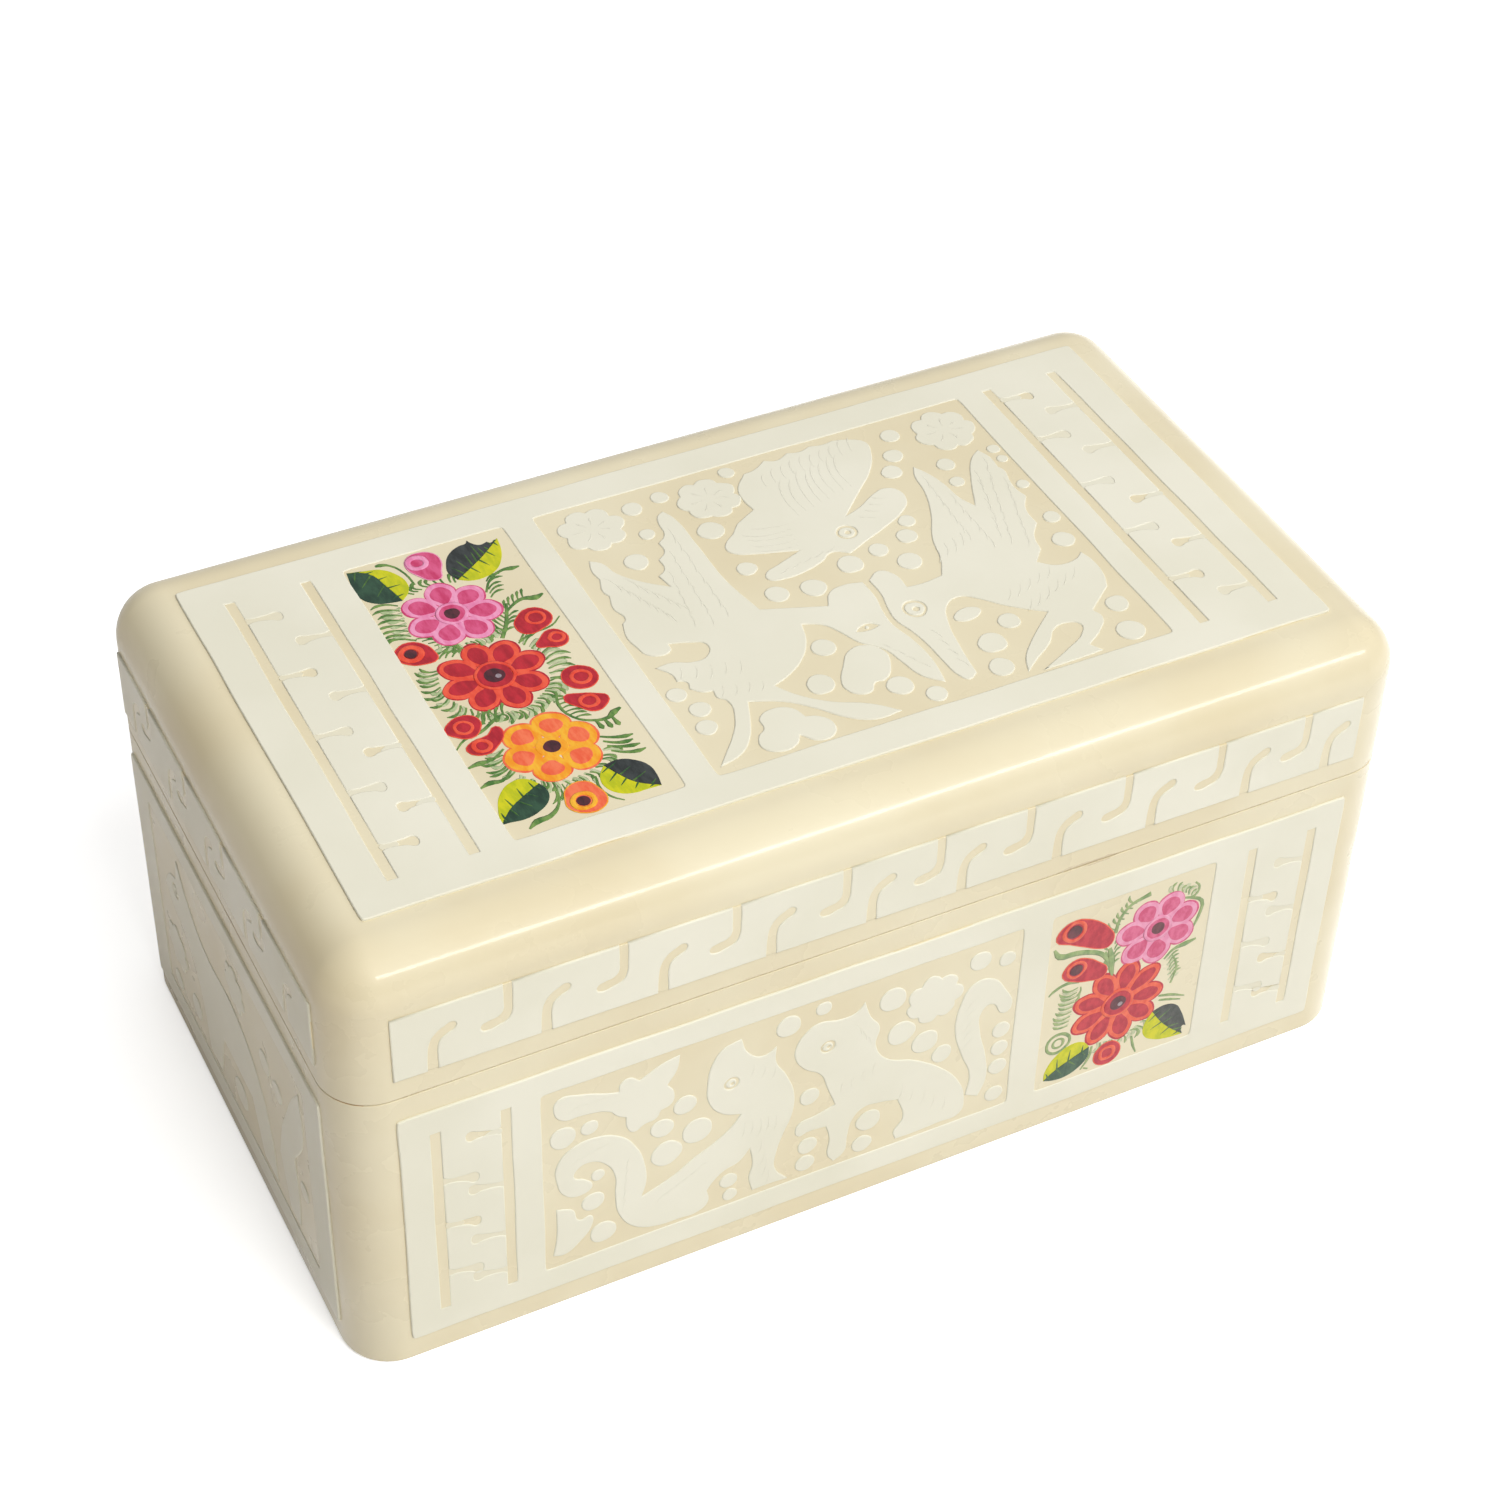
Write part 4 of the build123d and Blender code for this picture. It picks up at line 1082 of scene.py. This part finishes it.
def flower(piece, x, y, radius, petals, colour, first, margin, heart):
    # petals counted round from the first one's angle, each with a light margin
    fill, edge = f"{colour}Fill", f"{colour}Edge"
    step = 2 * pi / petals
    for petal in range(petals):
        angle = radians(first) + petal * step + hand.uniform(-0.04, 0.04)
        far = radius * hand.uniform(0.96, 1.04)
        near = radius * bloomShape["near"]
        half = radius * bloomShape["half"] * tan(step / 2) * hand.uniform(1.0, 1.06)
        above = paintHigh["petal"] * petal  # no two petals lie at one level
        dab(piece, egg(x, y, angle, near, far + 0.3, half + 0.25), fill, paintHigh["rim"] + above, 0.04)
        dab(piece, egg(x, y, angle, near, far, half), edge, paintHigh["edge"] + above, 0.07)
        inner = egg(x, y, angle, near + margin * 1.1, far - margin, half - margin * 0.85)
        dab(piece, inner, fill, paintHigh["fill"] + above)
    ringed = margin < wideMargin
    disc = roundIsland(x, y, heart * bloomShape["disc"])
    dab(piece, disc, fill if ringed else edge, paintHigh["fill"] + 0.04)
    if ringed:
        ring = ringLine(x, y, heart * bloomShape["ring"], bloomShape["ringWidth"])
        brush(piece, [ring], edge, *brushShape["ring"], True)
    dab(piece, roundIsland(x, y, heart), "heart", paintHigh["heart"], 0.1)
    # a painted highlight on the red flower's dark heart
    if colour == "red":
        spark = roundIsland(x + 0.5, y - 0.4, heart * bloomShape["spark"])
        dab(piece, spark, "spark", paintHigh["heart"] + 0.05, 0.05)


def bud(piece, outline, colour, middle, radius, width, heart=0.0):
    # a bud by its outline, with a light ring and sometimes a dark heart
    dab(piece, outline, f"{colour}Fill", paintHigh["bud"])
    brush(piece, [ringLine(*middle, radius, width)], f"{colour}Edge", *brushShape["budRing"], True)
    if heart:
        dab(piece, roundIsland(*middle, heart), "heart", paintHigh["heart"], 0.1)
    brush(piece, [[(x, y, 0.3) for x, y in outline]], f"{colour}Edge", *brushShape["budRim"], True)


def leaf(piece, spine, dark, light, darkPaint="leafDark"):
    # two halves that meet along the spine, streaked from it outward
    for side, colour, high in ((light, "leafLight", 0.1), (dark, darkPaint, 0.13)):
        dab(piece, [(*spine[0], t), *side, (*spine[-1], t), *spine[-2:0:-1]], colour, high, 0.08, 5)
        streaks = []
        for index, point in enumerate(side):
            place = (index + 0.5) / len(side) * (len(spine) - 1)
            knot = min(int(place), len(spine) - 2)
            root = [a + (b - a) * (place - knot) for a, b in zip(spine[knot], spine[knot + 1])]
            tip = [a + (b - a) * hand.uniform(0.5, 0.75) for a, b in zip(root, point)]
            middle = [(a + b) / 2 for a, b in zip(root, tip)]
            streaks.append([(*root, 0.45), (*middle, 0.35), (*tip, 0.15)])
        brush(piece, streaks, "leafMid", brushShape["fern"][0], high - 0.01)


def line(*points):
    # one stroke, written point by point
    return [points]


def ferns(rows, thin=1.0):
    lines = [stroke for draw, *values in rows for stroke in draw(*values)]
    return [[(x, y, width * thin) for x, y, width in stroke] for stroke in lines]


# Flower panels: green and pale ferns, leaves as spine, dark and light side, buds, and flowers
topPanel = {
    "thin": 0.85,
    "greens": (
        (barbs, (-55.8, 25.2), (-56.8, 16.6), 7, (-4.6, 0.9), 0.7, -0.18),
        (line, (-51, 29.4, 0.5), (-51.4, 33, 0.5), (-53, 36.2, 0.6), (-54.6, 37, 1.2), (-55.4, 37, 0.6)),
        (line, (-40.6, 22.2, 0.5), (-38.6, 25.2, 0.6), (-35.6, 26.8, 0.8), (-34, 26.6, 1.4),
         (-32.5, 26.6, 0.4)),
        (barbs, (-40.4, 20.6), (-39.4, 25), 5, (3.2, 1.2), 0.6),
        (line, (-40, 15.4, 0.6), (-38, 17, 0.7), (-35.6, 18, 1), (-33.4, 17.4, 1.7), (-31.8, 17.9, 0.5)),
        (barbs, (-39.4, 16.8), (-35.4, 18.4), 5, (0.8, 2.4), 0.55, 0.05),
        (line, (-43, 9.6, 0.9), (-41, 12.6, 0.9), (-39.6, 15.6, 0.8), (-38.6, 18, 0.5)),
        (barbs, (-42.6, 10.4), (-39.8, 15.2), 6, (-1, 3.2), 0.6, 0.05),
        (barbs, (-42, 10.8), (-39.6, 14.6), 4, (2.4, 0.8), 0.6),
        (rays, -48.2, 19.3, 8.6, 11.2, 62, 118, 9),
        (rays, -48.2, 19.3, 8.2, 10.4, 238, 302, 9),
        (line, (-61.6, 15.8, 0.9), (-61, 16.9, 1.4), (-59, 16.8, 0.6), (-56.4, 15.2, 0.5)),
        (barbs, (-56.4, 15.6), (-52, 9.6), 7, (3.4, -1.6), 0.6),
        (barbs, (-56, 9.2), (-52.6, 8.6), 4, (2.6, 1.4), 0.6),
        (rays, -48, 1.2, 9.4, 13, 146, 216, 11),
        (rays, -48, 1.2, 9.4, 12.6, 222, 242, 4),
        (rays, -48, 1.2, 9.2, 14.2, 40, -22, 9, 0.65),
        (rays, -48, 1.2, 9.4, 12.6, -30, -62, 7),
        (rays, -48, 1.2, 10, 12.4, 246, 292, 8),
        (line, (-40.6, 7.6, 0.8), (-38, 8.6, 0.5), (-34, 9.2, 0.5), (-31.7, 11, 0.3)),
        (line, (-40.4, -7, 0.7), (-41.4, -10.4, 0.7), (-40.4, -14.2, 0.6), (-38, -16.2, 0.7),
         (-35.2, -16.7, 1), (-33.8, -15.8, 1.6), (-32.3, -15.2, 0.6)),
        (barbs, (-42.2, -8.4), (-40.2, -14.4), 7, (2.8, -0.6), 0.6),
        (barbs, (-37.4, -16.4), (-34.6, -16.6), 3, (0.4, -3), 1.0, 0),
        (line, (-61.2, -13.8, 0.3), (-59, -11.9, 0.6), (-55.8, -11.2, 0.8), (-53, -9.6, 0.8),
         (-50.6, -8.4, 0.5)),
        (barbs, (-55.6, -10), (-50.6, -8.6), 5, (1.6, 3), 0.7),
        (line, (-61.3, -18.6, 0.4), (-59, -18.2, 1.4), (-56.8, -18.3, 0.8), (-54, -16.6, 0.5)),
        (line, (-61.2, -23.9, 0.4), (-59.2, -23.3, 1.4), (-57.2, -23.6, 0.9), (-54.6, -21.6, 0.5)),
        (rays, -46.6, -19.4, 8.2, 12, 168, 202, 5),
        (rays, -46.6, -19.4, 8.6, 10.8, 222, 248, 5),
        (rays, -46.6, -19.4, 8.8, 11, 262, 300, 6),
        (rays, -46.6, -19.4, 8.6, 11.4, 306, 330, 4),
        (barbs, (-38.6, -20.4), (-38.2, -24.4), 4, (5, -1.6), 0.95, -0.12),
        (line, (-57.8, -36, 0.4), (-56, -34.9, 1.6), (-53.6, -34.6, 1.2), (-51.2, -32.6, 0.6),
         (-50, -29.2, 0.5)),
        (barbs, (-50.4, -28.6), (-48.8, -28.4), 3, (-1.6, -3.4), 0.5),
        (line, (-43.2, -29, 0.6), (-43.6, -32.4, 0.6), (-42.6, -34.8, 0.5), (-41.2, -36.2, 0.3)),
    ),
    "curls": (),
    "pales": (
        (rays, -48, 1.2, 9.4, 12.2, 150, 212, 8, 0.9),
        (rays, -48, 1.2, 9.4, 13, 36, -58, 14, 0.9),
        (barbs, (-55.6, 24.6), (-56.6, 17.4), 6, (-3.6, 0.4), 0.9),
        (rays, -48.2, 19.3, 8.2, 10.6, 232, 306, 8, 0.9),
        (rays, -46.6, -19.4, 8.4, 11, 164, 330, 20, 0.8),
        (rays, -48, 1.2, 9.6, 12, 240, 300, 8, 0.9),
    ),
    "leaves": (
        (((-60.6, 37.4), (-57.2, 35.6), (-55.6, 31), (-54.5, 26.2)),
         ((-61.1, 33.2), (-61, 30), (-59.2, 27.5), (-56.6, 26.5)),
         ((-57.4, 36.6), (-55, 35.9), (-52.9, 33.6), (-52, 30.5), (-52.7, 28)), "leafDeep"),
        (((-43.7, 27.5), (-40, 29.9), (-36.5, 32.4), (-32.9, 35.5)),
         ((-44.5, 29.8), (-44, 32.2), (-42.4, 34.8), (-40, 36.2), (-38.6, 36.4), (-38.1, 37.1, t),
          (-37.5, 35.9), (-36.4, 35), (-35, 35.3, t), (-34.5, 34.8)),
         ((-41.6, 26.3), (-39, 26.2), (-36.5, 27.3), (-34.6, 29.6), (-33.4, 32.6))),
        (((-61.5, -33.3), (-58.5, -30.2), (-55.3, -28.3), (-52.1, -26.7)),
         ((-60.2, -33.3), (-57.4, -33.6), (-54.5, -32.8), (-52.2, -31), (-51.5, -28.6)),
         ((-60.5, -29.5), (-58.8, -26.4), (-56, -24.5), (-53.8, -24.7)), "leafDeep"),
        (((-40.9, -27.2), (-39.6, -30), (-37.8, -33), (-34.3, -35.5)),
         ((-38, -26.9), (-35.6, -28.2), (-34.1, -30.3), (-33.9, -33)),
         ((-42.6, -29.6), (-42.8, -32), (-41.5, -34.2), (-39.2, -35.3), (-36.6, -35.4))),
    ),
    "buds": (
        (((-50.6, 34), (-49.8, 36.6), (-47.4, 37.4), (-44.9, 36.2), (-44.4, 33.6), (-45.4, 31),
          (-46.2, 29.2), (-48, 29.4), (-49.4, 31.2)), "pink", (-48.4, 34.8), 1.6, 1.2),
        (((-61.4, 12.4), (-60.4, 14.4), (-58, 15.2), (-55.8, 13.8), (-54.8, 11.4), (-55, 9.2), (-57.4, 8.8),
          (-60, 9.8)), "red", (-58.7, 12.2), 1.8, 1.3, 1.15),
        (((-39.8, 11.4), (-38.6, 13.6), (-35.8, 15.1), (-33.2, 13.2), (-33.2, 10.8), (-35.4, 9.2),
          (-38.8, 8.9)), "red", (-35.7, 12.3), 1.6, 0.8),
        (((-38.5, 5), (-37.2, 6.8), (-34.9, 8.3), (-33, 7), (-32.9, 4.6), (-34.6, 3.5), (-36.8, 4.2)),
          "red", (-34.5, 6), 1.2, 0.8),
        (((-38.2, -4.6), (-36.6, -2.4), (-33.4, -3), (-32.2, -5.4), (-33.4, -7.8), (-35.6, -8.3),
          (-37.6, -7)), "red", (-35, -5.3), 1.6, 0.9),
        (((-39.8, -8.9), (-37, -9.2), (-34.4, -10.4), (-33, -11.6), (-34.4, -13.8), (-36.4, -14.3),
          (-38.2, -12.6)), "red", (-36.3, -11.5), 1.5, 0.9),
        (((-61, -8.9), (-59.8, -7), (-56.8, -6.2), (-54.9, -7.8), (-55.6, -10.6), (-57.6, -11.9),
          (-60, -10.6)), "red", (-57.9, -9), 1.5, 0.8),
        (((-59.6, -14.6), (-58, -12.9), (-55, -12.4), (-53, -10.9), (-52.4, -12.8), (-54.4, -15.4),
          (-57, -16.7)), "red", (-56.9, -14.5), 1.4, 0.9),
        (((-50.1, -34.4), (-49.9, -32.2), (-48.4, -29.6), (-45.2, -29.4), (-43.8, -31.8), (-43.5, -34.6),
          (-45.4, -36.5), (-48, -36.4)), "orange", (-47.3, -33.6), 1.8, 1.1, 1.2),
    ),
    "flowers": (
        (-48.2, 19.3, 8.6, 7, "pink", 90, 0.95, 1.4), (-48, 1.1, 9.5, 8, "red", 98, 0.95, 1.8),
        (-46.6, -19.4, 8.5, 6, "orange", 69, 1.35, 1.5),
    ),
}
longPanel = {
    "thin": 1.0,
    "greens": (
        (line, (31.9, 46.4, 0.5), (33.2, 44.2, 1.4), (36.4, 43.7, 1.3), (40, 42.5, 1.1), (42.6, 40.6, 1),
         (44, 37.4, 0.6)),
        (line, (43.6, 42, 0.8), (44.3, 39, 1.5), (44.5, 36.6, 1.2), (45, 34, 0.6)),
        (barbs, (44.6, 42.6), (44.8, 37), 5, (1.3, 1.6), 0.5),
        (barbs, (43.9, 41.4), (44.3, 36.4), 5, (-1.3, 1.6), 0.5),
        (line, (44.4, 45.4, 0.8), (45, 48.6, 0.7), (47, 51.2, 0.7), (49.4, 52, 0.9), (50.9, 52.4, 1.2)),
        (barbs, (44.4, 46.2), (48.2, 51.2), 6, (-1.7, 2.4), 0.5),
        (rays, 53.4, 42.8, 8.4, 10.6, 40, 74, 6, 0.5),
        (line, (58, 48.4, 0.5), (60.4, 48, 0.6), (61.2, 50, 0.5), (60.2, 51.4, 0.4)),
        (line, (59.4, 48, 0.6), (62.2, 46, 0.8), (62, 42.4, 0.7), (60.8, 39.2, 0.5)),
        (line, (55.8, 34, 0.5), (57.6, 35.8, 0.7), (60, 36.2, 1.3), (62.2, 36.6, 0.5)),
        (barbs, (56.6, 34.6), (57.8, 28.4), 7, (2, 1.6), 0.5),
        (line, (57.4, 34.6, 0.4), (58.8, 31, 0.5), (58, 27, 0.5)),
        (barbs, (37.9, 34.6), (36.6, 25.4), 9, (-3.4, 1), 0.55, 0.22),
        (line, (38, 36, 0.6), (35.4, 36.6, 0.8), (32.6, 35.6, 0.7), (31.8, 34.8, 0.3)),
        (barbs, (38.4, 34.6), (38.4, 32), 3, (-1, -2.6), 0.5),
        (line, (55.8, 24.6, 0.5), (58.4, 23.8, 0.7), (61.6, 22.2, 0.3)),
        (line, (56, 23.4, 0.5), (58.4, 22.6, 0.6), (60.8, 21.6, 0.3)),
        (rays, 46.9, 26.8, 9.6, 12.6, 292, 314, 5, 0.5),
        (line, (51, 16.2, 0.5), (51.6, 13.6, 0.6), (52.4, 11.4, 0.3)),
        (rays, 46.9, 26.8, 9.6, 11.6, 252, 284, 5, 0.5),
        (line, (42.5, 17.4, 0.5), (42.1, 14.6, 0.7), (40.6, 12, 0.4)),
        (line, (41.2, 12.2, 0.4), (42.2, 11.6, 0.4)),
    ),
    "curls": (
        (35, 21.5, 2.4, 0.7), (35, 21.5, 1.1, 0.6),
    ),
    "pales": (
        (barbs, (38, 34), (36.8, 25.8), 8, (-3.2, 0.6), 0.5),
        (barbs, (56.4, 33.4), (57.4, 28), 5, (2, 0.8), 0.8),
        (rays, 46.9, 26.8, 9.4, 12, 250, 316, 9, 0.8),
        (rays, 53.4, 42.8, 8.2, 10.2, 36, 76, 5, 0.8),
    ),
    "leaves": (
        (((32.7, 12.6), (35, 14.4), (38, 15.9), (41.9, 17.6)),
         ((34.6, 11.9), (37.2, 11.7), (39.9, 12.8), (41.8, 15)),
         ((32.9, 15), (35.2, 18.5), (38, 19.9), (40.6, 19.3)), "leafDeep"),
        (((54.9, 20.9), (57, 17.5), (59.5, 14.5), (62.4, 11.8)),
         ((57.5, 21.5), (60, 20.5), (61.5, 18), (62.6, 15), (63, 13.7, t), (62.2, 14)),
         ((53.4, 17.8), (53.8, 15), (56, 13.1), (59.2, 12.1))),
    ),
    "buds": (
        (((32.1, 48.5), (33.2, 51.2), (35.8, 52.1), (38.4, 51.3), (41, 49.5), (43.2, 47), (44.2, 44.5),
          (43.3, 42.7), (41.5, 42.9), (38.5, 44.5), (35, 46.6)), "red", (35.7, 49.4), 2.1, 0.9, 1.5),
        (((34.3, 38.6), (34.8, 40.8), (36.8, 42), (39.2, 41.3), (41.5, 39.5), (43.6, 36.8), (42.6, 35.2),
          (40.3, 35.4), (37, 36.5)), "red", (37, 39.4), 1.8, 0.8, 1.3),
        (((43.2, 14), (44.2, 16.2), (46, 17), (48, 16), (48.8, 13.8), (47.8, 11.8), (46, 11.2), (44, 12)),
          "red", (46, 14.1), 1.5, 0.9),
    ),
    "flowers": (
        (53.4, 42.9, 8.5, 7, "pink", 120, 0.95, 1.4), (46.9, 26.8, 9.8, 9, "red", 80, 0.9, 1.7),
    ),
}


def flowers(face, body, paintBox, panel):
    piece = newPiece(paintBox)
    greens = ferns(panel["greens"], panel["thin"])
    if panel["curls"]:
        brush(piece, [ringLine(*curl) for curl in panel["curls"]], "fern", *brushShape["fern"], True)
    brush(piece, ferns(panel["pales"]), "fernPale", *brushShape["pale"])
    brush(piece, greens, "fern", *brushShape["fern"])
    for draw, shapes in ((leaf, panel["leaves"]), (bud, panel["buds"]), (flower, panel["flowers"])):
        for shape in shapes:
            draw(piece, *shape)
    finishPiece(piece, f"{face}Flowers", face, body, cut["bed"], paintHigh["all"])


flowers("top", "lid", paints, topPanel)
flowers("front", "base", dullPaints, longPanel)
flowers("back", "base", dullPaints, longPanel)
print("flowers painted")

# Studio: pale floor, soft light, the camera where the photographer stood
floorLook = {
    "half": 3.0, "seen": 1.0, "bounce": 0.65, "shade": (0.96, 0.9, 0.85), "glow": 0.5, "gleam": 0.6,
    "gloss": 0.9, "shine": 0.1, "slant": -0.7, "open": (-0.13, -0.03),
    "sheet": (-0.19, -0.15),  # the white sheet ends a hand's breadth to the left
}
skyLook = {"rise": (0.2, 0.6), "overhead": (0.65, 1.0), "across": (-0.7, 0.1), "left": (0.13, 1.0)}
lights = {  # where it stands, size across and up, power
    "key": ((0.22, -0.97, 1.33), (0.9, 0.9), 16.3),
    "strip": ((0.5, -1.03, 0.85), (0.7, 0.14), 4.0),
}
lightAim = (0, 0, 50 * mm)
cameraPlace = {
    "eye": (-199.461, -381.918, 442.681), "target": (1.704, 23.476, 47.09), "roll": 0.01447, "lens": 76.97,
    "shift": (0.0333, -0.0167), "sensor": 36, "clip": 0.01,
}


def grey(level):
    return level, level, level, 1


def studioFloor():
    plane = bmesh.new()
    bmesh.ops.create_grid(plane, x_segments=1, y_segments=1, size=floorLook["half"])
    material, tree, shader = newMaterial("studioFloor")
    path = add(tree, "LightPath", {}).outputs
    camera, mirror = path["Is Camera Ray"], path["Is Glossy Ray"]
    spot = add(tree, "SeparateXYZ", {0: where(tree)}).outputs
    across = maths(tree, "MULTIPLY_ADD", spot["Y"], floorLook["slant"], spot["X"])
    openSide = spread(tree, across, *floorLook["open"])
    mirrored = maths(tree, "MULTIPLY", mirror, spread(tree, spot["X"], *floorLook["sheet"]))
    seen = maths(tree, "MAXIMUM", camera, mirrored)
    seen = maths(tree, "MAXIMUM", seen, path["Is Transmission Ray"])
    colour = mixed(tree, openSide, (*floorLook["shade"], 1), grey(floorLook["bounce"]))
    gleam = spread(tree, openSide, 0, 1, 0.0, floorLook["gleam"])
    glow = maths(tree, "MULTIPLY", camera, floorLook["glow"])
    plug(tree, shader, {
        "Base Color": mixed(tree, seen, colour, grey(floorLook["seen"])), "Roughness": floorLook["gloss"],
        "Emission Color": grey(1), "Emission Strength": maths(tree, "MULTIPLY_ADD", mirror, gleam, glow),
        "Specular IOR Level": floorLook["shine"],
    })
    floor = asObject(plane, "floor", material)


def areaLight(name, place, size, power):
    # the key gives the light, the strip only the thin gleam along the rolled edge
    data = bpy.data.lights.new(name, "AREA")
    data.shape = "RECTANGLE"
    data.size, data.size_y = size
    data.energy = power
    lamp = bpy.data.objects.new(name, data)
    lamp.location = place
    lamp.visible_glossy = name == "strip"
    lamp.visible_diffuse = name == "key"
    lamp.rotation_euler = (Vector(lightAim) - Vector(place)).to_track_quat("-Z", "Y").to_euler()
    bpy.context.scene.collection.objects.link(lamp)


def studioWorld():
    world = bpy.data.worlds.new("studioWorld")
    bpy.context.scene.world = world
    world.use_nodes = True
    tree = world.node_tree
    path = add(tree, "LightPath", {}).outputs
    seen = maths(tree, "MAXIMUM", path["Is Camera Ray"], path["Is Transmission Ray"])
    way = add(tree, "SeparateXYZ", {0: add(tree, "TexCoord", {}).outputs["Generated"]}).outputs
    # pale overhead, dim at the horizon and on the left
    dome = maths(tree, "MULTIPLY", path["Is Glossy Ray"], spread(tree, way["Z"], *skyLook["rise"]))
    overhead = spread(tree, dome, 0, 1, *skyLook["overhead"])
    left = spread(tree, way["X"], *skyLook["across"], *skyLook["left"])
    strength = maths(tree, "MAXIMUM", seen, maths(tree, "MULTIPLY", overhead, left))
    plug(tree, tree.nodes["Background"], {"Color": grey(1), "Strength": strength})


def studioCamera():
    eye, target = Vector(cameraPlace["eye"]) * mm, Vector(cameraPlace["target"]) * mm
    ahead = (target - eye).normalized()
    right = ahead.cross(Vector((0, 0, 1))).normalized()
    up = right.cross(ahead)
    roll = cameraPlace["roll"]
    tilted = right * cos(roll) + up * sin(roll)
    raised = up * cos(roll) - right * sin(roll)
    data = bpy.data.cameras.new("camera")
    data.lens = cameraPlace["lens"]
    data.sensor_width = cameraPlace["sensor"]
    data.shift_x, data.shift_y = cameraPlace["shift"]
    data.clip_start = cameraPlace["clip"]
    camera = bpy.data.objects.new("camera", data)
    camera.matrix_world = Matrix.Translation(eye) @ Matrix((tilted, raised, -ahead)).transposed().to_4x4()
    bpy.context.scene.collection.objects.link(camera)
    bpy.context.scene.camera = camera


studioFloor()
studioWorld()
for name, (place, size, power) in lights.items():
    areaLight(name, place, size, power)
studioCamera()
bpy.context.scene.view_settings.view_transform = "Standard"
print("studio set")
